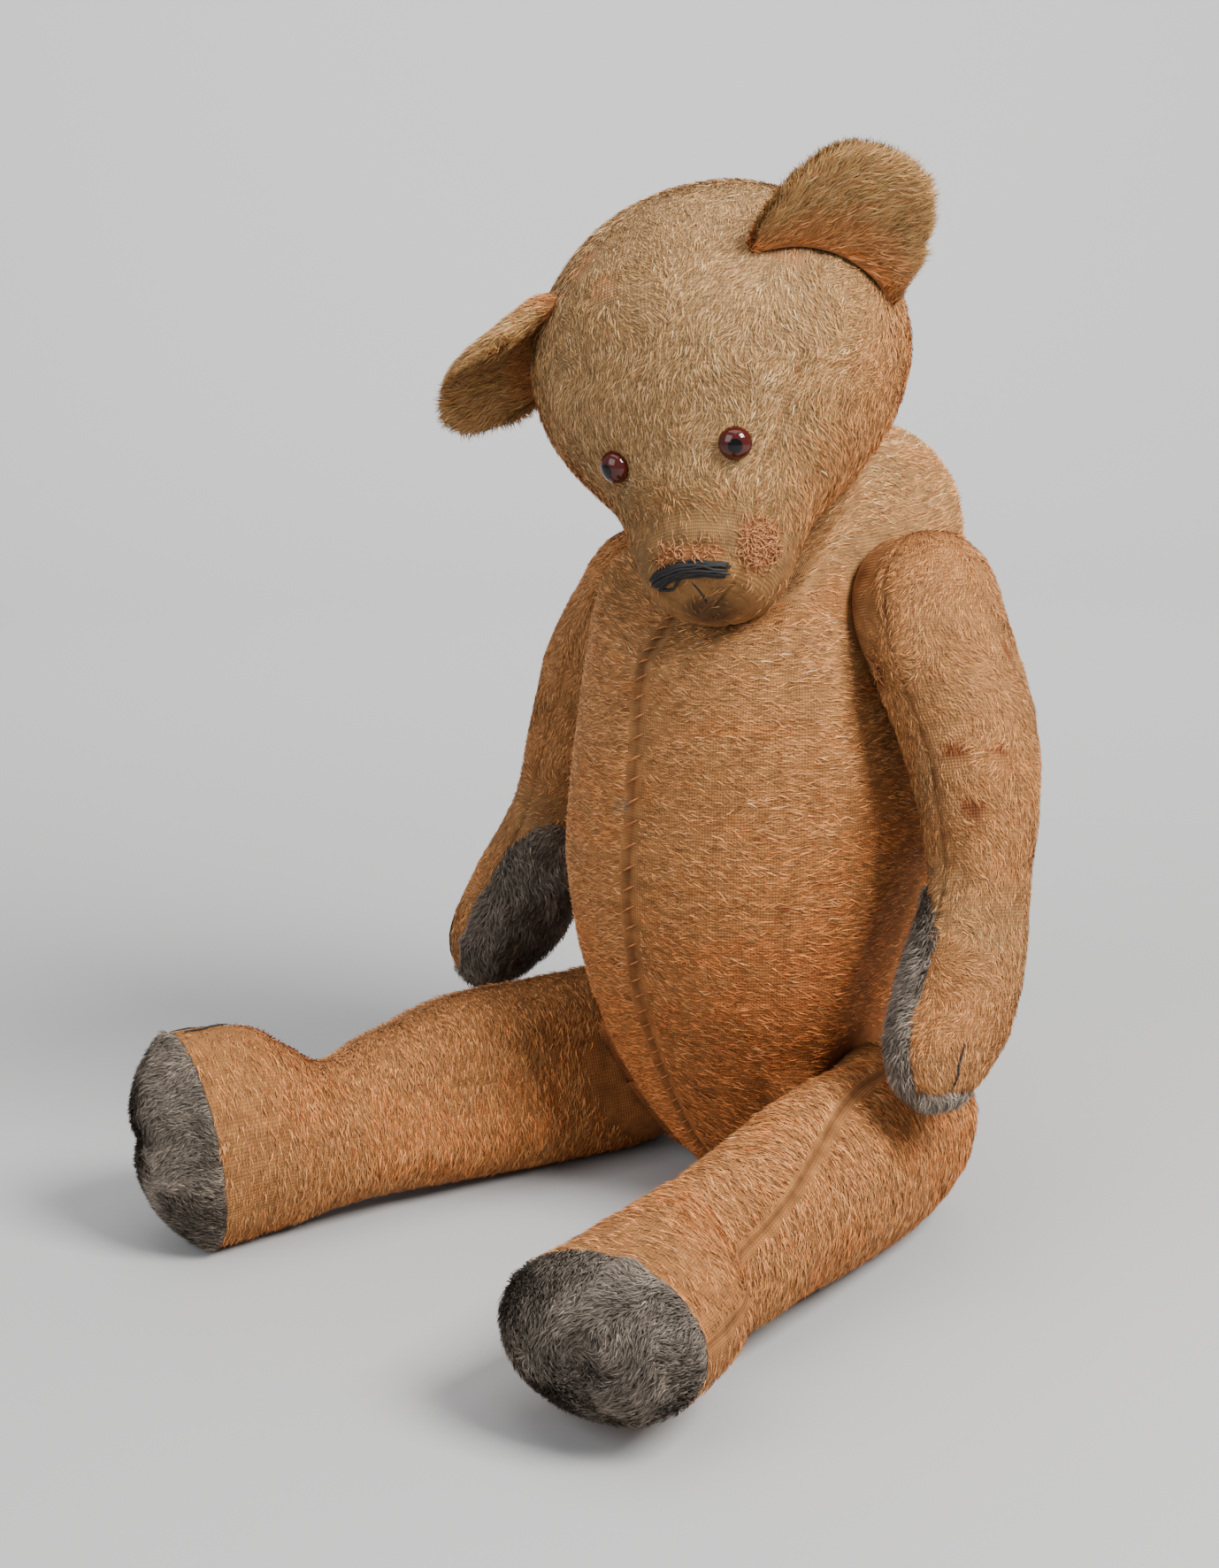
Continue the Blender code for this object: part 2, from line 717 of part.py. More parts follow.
def build_ear(head, side_name):
    """One cupped ear of two cloth faces, standing on the seam between the gusset and the side."""
    side = SIDES[side_name]
    lean = EAR_LEAN[side_name].normalized()
    rows = []
    for up in range(EAR_UP + 1):
        row = []
        for step in range(EAR_ACROSS + 1):
            across = 2 * step / EAR_ACROSS - 1
            angle = EAR_MIDDLE + EAR_HALF_SPAN * across
            base = head_surface(-EAR_CUP * (1 - across * across), angle, EAR_FOOT)
            round_edge = math.sqrt(1 - (EAR_ROUNDNESS * across) ** 2)
            height = EAR_HEIGHT[side_name] * round_edge + EAR_LEAST_HEIGHT
            point = base + lean * (EAR_LIFT + height * up / EAR_UP)
            row.append(point * Vector((side, 1, 1)))
        rows.append(row)
    width = EAR_ACROSS + 1
    faces = []
    for i in range(EAR_UP):
        for j in range(EAR_ACROSS):
            corner = i * width + j
            faces.append((corner, corner + 1, corner + width + 1, corner + width))
    points = [point for row in rows for point in row]
    for words, offset in (("front", 1), ("back", -1)):
        name = f"{side_name}_ear_{words}"
        mesh = mesh_of(name, points, faces)
        facing_out(mesh, (rows[0][EAR_ACROSS // 2] + Vector((0, 60, 0))) * MM)
        obj = link(name, mesh, head.matrix_world, head, "ear_mohair")
        apart = obj.modifiers.new("apart", "DISPLACE")
        apart.direction = "NORMAL"
        apart.mid_level = 0
        apart.strength = offset * GAP * MM
        solidify = obj.modifiers.new("cloth", "SOLIDIFY")
        solidify.thickness = CLOTH * MM
        solidify.offset = offset
        solidify.use_even_offset = False


def stand_at_origin(root):
    """Moves the whole bear so that its box stands centred on the origin."""
    bpy.context.view_layer.update()
    graph = bpy.context.evaluated_depsgraph_get()
    corners = []
    for obj in BEAR.objects:
        if obj.type != "EMPTY":
            evaluated = obj.evaluated_get(graph)
            mesh = evaluated.to_mesh()
            corners += [evaluated.matrix_world @ vertex.co for vertex in mesh.vertices]
            evaluated.to_mesh_clear()
    middle = [(min(c[i] for c in corners) + max(c[i] for c in corners)) / 2 for i in (0, 1)]
    root.location = (-middle[0], -middle[1], -min(corner.z for corner in corners))


def build():
    joints = limb_joints()
    root = empty("bear", Matrix.Identity(4))
    torso = empty("torso", Matrix.Identity(4))
    neck_axis = degrees("X", NECK_LEAN) @ UP
    turn = Matrix.Rotation(math.radians(HEAD_TURN), 4, neck_axis)
    head = empty("head", at(NECK + neck_axis * (GAP + HEAD_HEIGHT), turn @ degrees("X", HEAD_PITCH)))
    bodies = [torso, head]

    torso_panels, torso_filling = build_torso(torso, joints)
    head_panels, head_filling = build_head(head)
    build_eyes(head, head_panels, head_filling)
    build_stitches(head)
    for side_name in SIDES:
        build_ear(head, side_name)

    neck = facing(NECK, neck_axis)
    disc_joint("neck", "torso", "head", neck, DISC_RADIUS["neck"], torso, head)
    inside = joint_cutter("cut_neck_torso", neck, DISC_RADIUS["neck"], True)
    cut([*torso_panels.values(), torso_filling], inside)
    outside = joint_cutter("cut_neck_head", neck, DISC_RADIUS["neck"], False)
    cut([head_panels["left"], head_panels["right"], head_filling], outside)

    for kind, side_name, centre, axis, pivot, rotation in joints:
        limb_word = "leg" if kind == "hip" else "arm"
        limb = empty(f"{side_name}_{limb_word}", at(pivot, rotation))
        bodies.append(limb)
        covers, filling = build_limb(limb, side_name, kind)
        name = f"{side_name}_{kind}"
        place = facing(centre, axis)
        disc_joint(name, "torso", limb_word, place, DISC_RADIUS[kind], torso, limb)
        inside = joint_cutter(f"cut_{name}_torso", place, DISC_RADIUS[kind], True)
        cut([torso_panels[side_name], torso_filling], inside)
        outside = joint_cutter(f"cut_{name}_{limb_word}", place, DISC_RADIUS[kind], False)
        cut([covers[1], filling], outside)

    bpy.context.view_layer.update()
    for obj in bodies + list(CUTTERS.objects):
        obj.parent = root
    stand_at_origin(root)


clear_scene()
BEAR = new_collection("jointed_teddy_bear")
CUTTERS = new_collection("cutters")
build()
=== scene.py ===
import json
import math

import bmesh
import bpy
import numpy as np
from mathutils import Matrix, Vector


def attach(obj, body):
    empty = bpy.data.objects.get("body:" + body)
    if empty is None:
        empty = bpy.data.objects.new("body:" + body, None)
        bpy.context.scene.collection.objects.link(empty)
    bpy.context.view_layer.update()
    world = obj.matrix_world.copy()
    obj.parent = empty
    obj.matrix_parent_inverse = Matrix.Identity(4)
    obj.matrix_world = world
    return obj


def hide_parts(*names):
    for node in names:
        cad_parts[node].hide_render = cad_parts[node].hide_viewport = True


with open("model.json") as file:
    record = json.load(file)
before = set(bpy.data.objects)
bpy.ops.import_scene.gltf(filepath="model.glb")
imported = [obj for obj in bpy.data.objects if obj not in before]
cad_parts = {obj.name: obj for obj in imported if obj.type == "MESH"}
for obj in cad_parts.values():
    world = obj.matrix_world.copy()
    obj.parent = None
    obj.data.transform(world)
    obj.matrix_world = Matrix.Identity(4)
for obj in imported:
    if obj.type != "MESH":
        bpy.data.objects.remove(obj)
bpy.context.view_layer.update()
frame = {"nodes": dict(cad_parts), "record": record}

MM = 0.001
RECORD = frame["record"]
JOINTS = {joint["name"]: joint for joint in RECORD["behaviour"]["joints"]}

# ---- The bear's own dimensions, in millimetres, as in the CAD ----

GAP, LEG_LIFT = 0.3, 0.3
TORSO_SECTIONS = (
    (0, 4, 3, 3), (0, 4, 24, 23), (12, 3, 35, 34), (36, 0, 49, 49), (66, -2, 62, 62), (100, -3, 71, 72),
    (140, -2, 75, 76), (185, 3, 72, 77), (225, 9, 67, 77), (256, 15, 63, 72), (280, 21, 51, 61),
    (295, 26, 30, 38), (301, 28, 3, 4),
)
HEAD_SECTIONS = (
    (-61, 0, 4, 4), (-58, 0, 22, 20), (-48, 0, 42, 36), (-30, 0, 60, 52), (-6, 0, 70, 60), (16, 0, 69, 59),
    (34, -2, 61, 51), (48, -5, 49, 42), (60, -8, 38, 34), (74, -11, 31, 29), (88, -13, 26, 25),
    (97, -13, 19, 18), (101, -13, 4, 4),
)
ARM_SECTIONS = (
    (-27, 0, 3, 4), (-24, 0, 11, 13), (-14, 0, 19, 23), (4, 0, 23, 28), (30, 0, 25.5, 28.5),
    (50, 1, 24, 26), (74, 1, 20.5, 23), (102, 1, 18, 20), (130, -3, 20.5, 23.5), (155, -9, 20.5, 24), (171, -14, 15, 18),
    (179, -16, 7, 9), (181, -17, 3, 4),
)
LEG_SECTIONS = (
    (-37, 0, 4, 5), (-33, 0, 14, 17), (-21, 0, 23, 29), (4, 0, 28, 37), (40, -1, 30, 37.5),
    (84, -2, 30, 36), (118, 1, 29, 31), (139, 4, 28, 28), (153, 0, 28, 33.5), (165, -4, 28.5, 39), (180, -5, 29, 41),
    (196, -5, 29, 42),
)
GUSSET_ANGLE = 54
PAW_PAD_FROM = 102
SOLE_TILT, SOLE_TILT_FROM, SOLE_BULGE = 2, 130, 19
NECK = Vector((0, 11, 286))
NECK_LEAN, HEAD_PITCH, HEAD_TURN, HEAD_HEIGHT = 38, 53, 21, 56
SHOULDER_LEAN = {"left": 15.5, "right": 20}
ARM_SWING = {"left": 13, "right": 8}
ARM_BOW = {"left": 14, "right": 4}
ARM_FLAT, LEG_FLAT = 19.5, 25
HIP_LEAN = 16
LEG_SPLAY = {"left": 8, "right": 16}
LEG_TWIST = {"left": 64, "right": 0}
LEG_TWIST_FROM, THIGH_LENGTH = 30, 125
DISC_RADIUS = {"neck": 22, "shoulder": 17, "hip": 21}
TORSO_MARGIN, LIMB_MARGIN, PRESSED_REACH = 13, 8, 14
EYE_ANGLE, EYE_FORWARD, EYE_LIFT, EYE_RADIUS, EYE_HEIGHT = 35.5, 57, 0.6, 6, 5
NOSE_FORWARD, NOSE_HALF_ANGLE = 94, 44
EAR_MIDDLE, EAR_HALF_SPAN = 60, 28
EAR_HEIGHT = {"left": 38, "right": 43}
EAR_CUP, EAR_LIFT, EAR_FOOT = 9, 1.6, 2.4
EAR_LEAN = {"left": Vector((0.72, 0.44, 0.54)), "right": Vector((0.84, -0.54, 0.02))}
SIDES = {"left": 1, "right": -1}

# ---- Small mathematics ----


def rotation(axis, angle):
    return Matrix.Rotation(math.radians(angle), 4, axis)


def placed(matrix, points):
    m = np.array(matrix, float)
    return points @ m[:3, :3].T + m[:3, 3]


def unit(vectors):
    return vectors / np.maximum(np.linalg.norm(vectors, axis=-1, keepdims=True), 1e-9)


def smoothstep(low, high, values):
    share = np.clip((values - low) / (high - low), 0, 1)
    return share * share * (3 - 2 * share)


LATTICES = {}


def noise(points, size, seed):
    """Smooth value noise from 0 to 1 over points in millimetres."""
    if seed not in LATTICES:
        LATTICES[seed] = np.random.RandomState(seed).rand(32, 32, 32)
    table = LATTICES[seed]
    q = np.asarray(points, float) / size + 200.0
    low = np.floor(q).astype(int)
    f = q - low
    f = f * f * (3 - 2 * f)
    total = 0
    for corner in range(8):
        step = np.array([corner & 1, corner >> 1 & 1, corner >> 2 & 1])
        cell = (low + step) % 32
        weight = np.prod(np.where(step, f, 1 - f), axis=-1)
        total = total + weight * table[cell[..., 0], cell[..., 1], cell[..., 2]]
    return total


def fractal(points, size, seed):
    return noise(points, size, seed) * 0.57 + noise(points, size / 2.3, seed + 1) * 0.29 + noise(
        points, size / 5.1, seed + 2) * 0.14


# ---- Surfaces: grids of points with their distance along the body and angle round it ----


def spline(sections, steps):
    """Section rows made fine by a Catmull-Rom curve through them."""
    table = np.array(sections, float)
    padded = np.vstack([2 * table[0] - table[1], table, 2 * table[-1] - table[-2]])
    rows = []
    for i in range(len(table) - 1):
        a, b, c, d = padded[i:i + 4]
        for k in range(steps):
            t = k / steps
            rows.append(0.5 * (2 * b + (c - a) * t + (2 * a - 5 * b + 4 * c - d) * t * t
                               + (3 * b - a - 3 * c + d) * t ** 3))
    rows.append(table[-1])
    rows = np.array(rows)
    rows[:, 2:] = np.maximum(rows[:, 2:], 1.5)
    return rows


class Surface:
    """A grid over a body: points, outward normals, and tangents round and along it."""

    def __init__(self, rows, columns, along, front):
        self.rows, self.columns = rows, columns
        angle = np.arange(columns) * math.tau / columns
        self.angle = np.degrees(np.broadcast_to(angle, (len(rows), columns))).copy()
        self.along = np.broadcast_to(rows[:, :1], (len(rows), columns)).copy()
        along, front = np.array(along, float), np.array(front, float)
        sideways = np.array((1.0, 0, 0))
        offset = np.abs(front) * np.array((0, 1, 1))
        self.points = (
            rows[:, None, :1] * along + rows[:, None, 1:2] * offset
            + (rows[:, 2:3] * np.sin(angle))[..., None] * sideways
            + (rows[:, 3:4] * np.cos(angle))[..., None] * front
        )

    def press(self, centre, normal, radius, reach=1e9, soften=1.2):
        """Flattens the surface under a joint's plane, with a soft edge."""
        normal = np.array(normal, float)
        away = self.points - np.array(centre, float)
        height = away @ normal
        sideways = np.linalg.norm(away - height[..., None] * normal, axis=-1)
        under = -soften * np.logaddexp(0, -height / soften)
        near = smoothstep(reach + 20, reach - 5, sideways)
        new = np.where(height > -12 * soften, height + (under - height) * near, height)
        over = smoothstep(radius + 8, radius - 3, sideways) * (height > -PRESSED_REACH)
        new = new + (-0.2 - new) * over
        self.points = self.points + (new - height)[..., None] * normal

    def finish(self, matrix):
        """Moves the grid into the world and works out its normals."""
        self.points = placed(matrix, self.points)
        self.refresh()

    def refresh(self):
        p = self.points
        self.round = unit(np.roll(p, -1, 1) - np.roll(p, 1, 1))
        along = np.gradient(p, axis=0)
        self.down = unit(along)
        normal = np.cross(self.round, self.down)
        middle = p.mean(axis=1, keepdims=True)
        if ((p - middle) * normal).sum() < 0:
            normal = -normal
        self.normal = unit(normal)

    def push(self, amount):
        self.points = self.points + self.normal * amount[..., None]
        self.refresh()

    def stand(self, height):
        """Keeps the grid from going below a height, where it rests on something."""
        self.points[..., 2] = np.maximum(self.points[..., 2], height)
        self.refresh()

    def scatter(self, count, seed, mask=None):
        """Random spots on the surface, evenly by area. mask gives each cell's share from 0 to 1."""
        rng = np.random.RandomState(seed)
        p = self.points
        q = np.roll(p, -1, 1)
        area = np.linalg.norm(np.cross(p[1:] - p[:-1], q[:-1] - p[:-1]), axis=-1)
        if mask is not None:
            area = area * mask[:-1]
        chance = (area / area.sum()).ravel()
        cells = rng.choice(len(chance), count, p=chance)
        i, j = cells // self.columns, cells % self.columns
        k = (j + 1) % self.columns
        u, v = rng.rand(count), rng.rand(count)

        def at(grid):
            u_, v_ = (u[:, None], v[:, None]) if grid.ndim == 3 else (u, v)
            return ((grid[i, j] * (1 - u_) + grid[i, k] * u_) * (1 - v_)
                    + (grid[i + 1, j] * (1 - u_) + grid[i + 1, k] * u_) * v_)

        step = 360 / self.columns
        return {
            "points": at(p), "normal": unit(at(self.normal)), "round": unit(at(self.round)),
            "down": unit(at(self.down)), "along": at(self.along), "angle": (j + u) * step, "rng": rng,
        }


# ---- Where each body is ----

NECK_AXIS = rotation("X", NECK_LEAN) @ Vector((0, 0, 1))
SHIFT = Vector(JOINTS["neck"]["pos_m"]) / MM - NECK
HEAD_FRAME = (
    Matrix.Translation(SHIFT + NECK + NECK_AXIS * (GAP + HEAD_HEIGHT))
    @ Matrix.Rotation(math.radians(HEAD_TURN), 4, NECK_AXIS) @ rotation("X", HEAD_PITCH)
)


def mirrored(matrix, side):
    flip = Matrix.Scale(-1, 4, Vector((1, 0, 0)))
    return matrix if side > 0 else flip @ matrix @ flip


def limb_frame(kind, side_name):
    """(matrix, outward axis, joint centre) of an arm or a leg, in millimetres."""
    side = SIDES[side_name]
    if kind == "shoulder":
        turn = rotation("Y", -SHOULDER_LEAN[side_name]) @ rotation("X", -ARM_SWING[side_name])
        flat = ARM_FLAT
    else:
        turn = rotation("Z", LEG_SPLAY[side_name]) @ rotation("Y", HIP_LEAN) @ rotation("X", -90)
        flat = LEG_FLAT
    turn = mirrored(turn, side)
    outward = turn.to_3x3() @ Vector((side, 0, 0))
    centre = Vector(JOINTS[f"{side_name}_{kind}"]["pos_m"]) / MM
    return Matrix.Translation(centre + outward * (GAP + flat)) @ turn, outward, centre


# ---- Worn places: (distance along, angle, half length, half width), in millimetres and degrees ----

ARM_HOLES = {
    "left": ((56, 26, 2.8, 5.6), (57, 66, 1.9, 3.2), (76, 36, 3.6, 5.4), (20, 100, 5.0, 1.6)),
    "right": ((16, 100, 2.4, 2.4),),
}
ARM_TEARS = {"left": (24, -30, 5.5, 3.2), "right": (18, 96, 2.0, 1.6)}
ANKLE_TEAR = {"left": (150, 40, 3.0, 3.0), "right": (131, 12, 5.0, 5.0)}
MUZZLE_TEARS = ((90.5, 0, 2.4, 14.5), (85, 64, 8.5, 8.0))
HEAD_BALD = ((6, -12, 6, 5), (-8, -22, 6, 5), (-2, 44, 5, 6), (-16, 40, 13, 5))
TORSO_STAIN = (168, -4, 3.0, 2.2)

# A body's seams, as angles round it, and the radius that turns them into distances across.
SIDE_SEAMS = (0, 180)
HEAD_SEAMS = (GUSSET_ANGLE, -GUSSET_ANGLE, 180)
TORSO_SEAM_RADIUS, HEAD_SEAM_RADIUS, ARM_SEAM_RADIUS, LEG_SEAM_RADIUS = 70, 55, 22, 30
TORSO_SPOT_RADIUS, HEAD_SPOT_RADIUS, MUZZLE_SPOT_RADIUS, ARM_SPOT_RADIUS = 75, 62, 28, 25


def across_from(angle, turn, radius):
    """The distance round a body from the line at turn degrees, in millimetres."""
    return ((angle - turn + 180) % 360 - 180) * math.pi / 180 * radius


def spot(along, angle, radius, place, ragged=None):
    """From 0 outside a worn place to 1 inside it, with a ragged edge."""
    middle, turn, length, width = place
    across = across_from(angle, turn, radius)
    far = np.sqrt(((along - middle) / length) ** 2 + (across / width) ** 2)
    if ragged is not None:
        far = far + 0.9 * (ragged - 0.5)
    return smoothstep(1.25, 0.8, far)


def seam_line(angle, centres, radius, width=1.0):
    """1 on the seams at the given angles, fading to 0 beside them."""
    total = np.zeros_like(angle)
    for centre in centres:
        away = np.abs(across_from(angle, centre, radius))
        total = np.maximum(total, np.exp(-(away / width) ** 2))
    return total


# ---- The five kinds of surface ----


def torso_surface():
    grid = Surface(spline(TORSO_SECTIONS[1:], 11), 144, (0, 0, 1), (0, -1, 0))
    grid.points += np.array(SHIFT)
    grid.press(SHIFT + NECK - NECK_AXIS * GAP, NECK_AXIS, DISC_RADIUS["neck"] + TORSO_MARGIN)
    for side_name in SIDES:
        for kind in ("shoulder", "hip"):
            _, outward, centre = limb_frame(kind, side_name)
            grid.press(centre - outward * GAP, outward, DISC_RADIUS[kind] + TORSO_MARGIN)
    grid.stand(0)
    return grid


def head_surface():
    grid = Surface(spline(HEAD_SECTIONS, 10), 144, (0, -1, 0), (0, 0, 1))
    down = rotation("X", NECK_LEAN - HEAD_PITCH) @ Vector((0, 0, -1))
    grid.press(down * HEAD_HEIGHT, down, DISC_RADIUS["neck"] + LIMB_MARGIN)
    grid.finish(HEAD_FRAME)
    return grid


def on_head(forward, angle, lift=0.0):
    """A point of the head's own frame, over its cloth."""
    table = np.array(HEAD_SECTIONS, float)
    offset, width, depth = (np.interp(forward, table[:, 0], table[:, k]) for k in (1, 2, 3))
    turn = math.radians(angle)
    return Vector((
        (width + lift) * math.sin(turn), -forward, offset + (depth + lift) * math.cos(turn)
    ))


def head_spot(forward, angle, lift=0.0):
    """(point, outward normal) on the head, in the world."""
    foot = on_head(forward, angle)
    along = on_head(forward + 3, angle) - on_head(forward - 3, angle)
    around = on_head(forward, angle + 3) - on_head(forward, angle - 3)
    normal = around.cross(along).normalized()
    if normal.dot(foot - on_head(forward, angle, -8)) < 0:
        normal = -normal
    return HEAD_FRAME @ (foot + normal * lift), HEAD_FRAME.to_3x3() @ normal


def arm_surface(side_name):
    side = SIDES[side_name]
    grid = Surface(spline(ARM_SECTIONS, 9), 96, (0, 0, -1), (0, -1, 0))
    share = np.maximum(0, grid.along) / ARM_SECTIONS[-1][0]
    grid.points[..., 0] += side * ARM_BOW[side_name] * np.sin(math.pi * share ** 0.8) ** 2
    grid.press((-side * ARM_FLAT, 0, 0), (-side, 0, 0), DISC_RADIUS["shoulder"] + LIMB_MARGIN)
    matrix, _, _ = limb_frame("shoulder", side_name)
    grid.finish(matrix)
    return grid


def leg_surface(side_name):
    side = SIDES[side_name]
    grid = Surface(spline(LEG_SECTIONS, 9), 108, (0, 0, -1), (0, -1, 0))
    length = LEG_SECTIONS[-1][0]
    leaning = np.maximum(0, (grid.along - SOLE_TILT_FROM) / (length - SOLE_TILT_FROM)) ** 2
    offset = np.broadcast_to(grid.rows[:, 1:2], grid.along.shape)
    grid.points[..., 2] += math.tan(math.radians(SOLE_TILT)) * leaning * (grid.points[..., 1] - offset)
    share = np.clip((grid.along - LEG_TWIST_FROM) / (length - LEG_TWIST_FROM), 0, 1)
    twist = np.radians(side * LEG_TWIST[side_name]) * share * share * (3 - 2 * share)
    x, y = grid.points[..., 0].copy(), grid.points[..., 1].copy()
    grid.points[..., 0] = x * np.cos(twist) - y * np.sin(twist)
    grid.points[..., 1] = x * np.sin(twist) + y * np.cos(twist)
    grid.press(
        (-side * LEG_FLAT, 0, 0), (-side, 0, 0), DISC_RADIUS["hip"] + LIMB_MARGIN, THIGH_LENGTH
    )
    matrix, _, _ = limb_frame("hip", side_name)
    grid.finish(matrix)
    return grid


def sole_surface(leg):
    """The domed sole that closes a leg's last row."""
    rim = leg.points[-1]
    middle = rim.mean(axis=0)
    quarter = leg.columns // 4
    outward = unit(np.cross(rim[quarter] - middle, rim[0] - middle))
    if outward @ (middle - leg.points[-12].mean(axis=0)) < 0:
        outward = -outward
    shares = 1 - np.linspace(0, 0.97, 26) ** 1.4
    grid = Surface(np.zeros((len(shares), 4)), leg.columns, (0, 0, 1), (0, -1, 0))
    s = shares[:, None, None]
    grid.points = middle + (rim - middle) * s + outward * (SOLE_BULGE * (1 - s ** 3))
    grid.along = np.broadcast_to((1 - shares[:, None]) * 40, grid.along.shape).copy()
    grid.refresh()
    if ((grid.normal @ outward).mean()) < 0:
        grid.normal = -grid.normal
    return grid, outward


# ---- Colours, as sRGB from 0 to 255 ----

TAN, GOLD, ORANGE = (168, 132, 90), (174, 120, 70), (188, 114, 60)
# RUST is a pile hue, and also the painted shade under the torso's left arm and where the torso and legs meet the
# floor.
RUST, SHADOW, OLIVE = (158, 84, 38), (112, 66, 36), (170, 134, 84)
BALD, PEACH, GREY = (180, 126, 82), (186, 122, 76), (100, 90, 80)
STAIN, HOLE, TORN_EDGE = (112, 106, 98), (120, 62, 34), (150, 84, 44)


def linear(colour):
    c = np.asarray(colour, float) / 255
    return np.where(c <= 0.04045, c / 12.92, ((c + 0.055) / 1.055) ** 2.4)


def mix(a, b, share):
    share = np.asarray(share)[..., None]
    return np.asarray(a, float) * (1 - share) + np.asarray(b, float) * share


def torso_tint(points, along, angle):
    height = (points[..., 2] + 40 * (fractal(points, 60, 11) - 0.5)) / 300
    tint = mix(ORANGE, GOLD, smoothstep(0.0, 0.62, height))
    tint = mix(tint, TAN, 0.6 * smoothstep(0.55, 1.0, height))
    bands = fractal(points * np.array((1, 1, 2.5)), 24, 15)
    tint = mix(tint, ORANGE, 0.4 * smoothstep(0.5, 0.7, bands))
    # Painted shade: a rust tint round the torso's left side, stronger lower down, for the shade under the left arm.
    side = smoothstep(20, 95, 120 - np.abs(angle - 100))
    tint = mix(tint, RUST, 0.4 * side * smoothstep(0.9, 0.3, height))
    # Painted shade: rust at the very bottom, where the torso sits on the floor.
    tint = mix(tint, RUST, 0.3 * smoothstep(0.1, 0.0, height))
    tint = mix(tint, SHADOW, 0.3 * seam_line(angle, SIDE_SEAMS, TORSO_SEAM_RADIUS, 0.7))
    return mix(tint, STAIN, 0.8 * spot(along, angle, TORSO_SPOT_RADIUS, TORSO_STAIN))


def head_tint(points, along, angle):
    top = np.cos(np.radians(angle))
    ragged = fractal(points, 5, 29)
    tint = mix(GOLD, TAN, smoothstep(-0.3, 0.75, top + 0.5 * (fractal(points, 40, 21) - 0.5)))
    tint = mix(tint, ORANGE, 0.5 * smoothstep(-0.1, -0.8, top))
    tint = mix(tint, (146, 108, 66), 0.8 * smoothstep(60, 74, along) * smoothstep(-0.6, 0.3, top))
    tint = mix(tint, (170, 122, 72), 0.8 * smoothstep(90, 95, along))
    tint = mix(tint, (72, 52, 38), 0.55 * smoothstep(99.4, 100.6, along))
    tint = mix(tint, SHADOW, 0.5 * seam_line(angle, HEAD_SEAMS, HEAD_SEAM_RADIUS, 0.9))
    for place in HEAD_BALD:
        tint = mix(tint, BALD, 0.75 * spot(along, angle, HEAD_SPOT_RADIUS, place, ragged))
    for place in MUZZLE_TEARS:
        torn = spot(along, angle, MUZZLE_SPOT_RADIUS, place, ragged)
        tint = mix(tint, TORN_EDGE, torn)
        tint = mix(tint, PEACH, smoothstep(0.6, 0.95, torn))
    return tint


def arm_tint(points, along, angle):
    tint = mix(TAN, GOLD, 0.35 + 0.65 * smoothstep(0.3, 0.6, fractal(points, 42, 31)))
    tint = mix(tint, ORANGE, 0.35 * smoothstep(0.48, 0.7, fractal(points, 30, 35)))
    tint = mix(tint, (146, 102, 62), 0.35 + 0.35 * smoothstep(0.5, 0.7, fractal(points, 18, 37)))
    tint = mix(tint, SHADOW, 0.4 * seam_line(angle, SIDE_SEAMS, ARM_SEAM_RADIUS, 0.8))
    return mix(tint, ORANGE, 0.35 * smoothstep(15, -15, along))


def worn_arm_tint(side_name):
    def tint_of(points, along, angle):
        tint = arm_tint(points, along, angle)
        ragged = fractal(points, 3.5, 39)
        for place in (*ARM_HOLES[side_name], ARM_TEARS[side_name]):
            tint = mix(tint, HOLE, 0.85 * spot(along, angle, ARM_SPOT_RADIUS, place, ragged))
        return tint
    return tint_of


def leg_tint(points, along, angle):
    tint = mix(ORANGE, GOLD, 0.45 + 0.3 * smoothstep(0.38, 0.62, fractal(points, 30, 41)))
    tint = mix(tint, GOLD, 0.4 * smoothstep(140, 190, along))
    tint = mix(tint, SHADOW, 0.4 * seam_line(angle, SIDE_SEAMS, LEG_SEAM_RADIUS, 0.9))
    # Painted shade: rust fading in below 16 mm height, where the leg lies on the floor.
    return 0.95 * mix(tint, RUST, 0.3 * smoothstep(16, 3, points[..., 2]))


def ear_tint(points, along, angle):
    tint = mix((172, 108, 62), GOLD, smoothstep(0.0, 0.16, along + 0.2 * (fractal(points, 9, 51) - 0.5)))
    return mix(tint, OLIVE, smoothstep(0.15, 0.45, along))


def pad_tint(points, along, angle):
    tint = mix(GREY, (128, 118, 107), smoothstep(0.4, 0.7, fractal(points, 16, 61)))
    return mix(tint, (80, 72, 65), 0.7 * smoothstep(0.52, 0.75, fractal(points, 22, 65)))


# ---- Materials ----


def shader_of(name):
    made = bpy.data.materials.new(name)
    made.use_nodes = True
    return made, made.node_tree, made.node_tree.nodes["Principled BSDF"]


def node_of(tree, kind, **values):
    """A new shader node with the named inputs set; an underscore stands for a space."""
    made = tree.nodes.new(f"ShaderNode{kind}")
    for name, value in values.items():
        made.inputs[name.replace("_", " ")].default_value = value
    return made


def multiplied(tree, a, b):
    made = tree.nodes.new("ShaderNodeMath")
    made.operation = "MULTIPLY"
    tree.links.new(a, made.inputs[0])
    tree.links.new(b, made.inputs[1])
    return made.outputs["Value"]


def bumped(tree, shader, height, strength, distance):
    bump = node_of(tree, "Bump", Strength=strength, Distance=distance)
    tree.links.new(height, bump.inputs["Height"])
    tree.links.new(bump.outputs["Normal"], shader.inputs["Normal"])


def plain(name, colour, roughness, metallic=0.0, specular=0.5):
    made, _, shader = shader_of(name)
    shader.inputs["Base Color"].default_value = (*linear(colour), 1)
    shader.inputs["Roughness"].default_value = roughness
    shader.inputs["Metallic"].default_value = metallic
    shader.inputs["Specular IOR Level"].default_value = specular
    return made


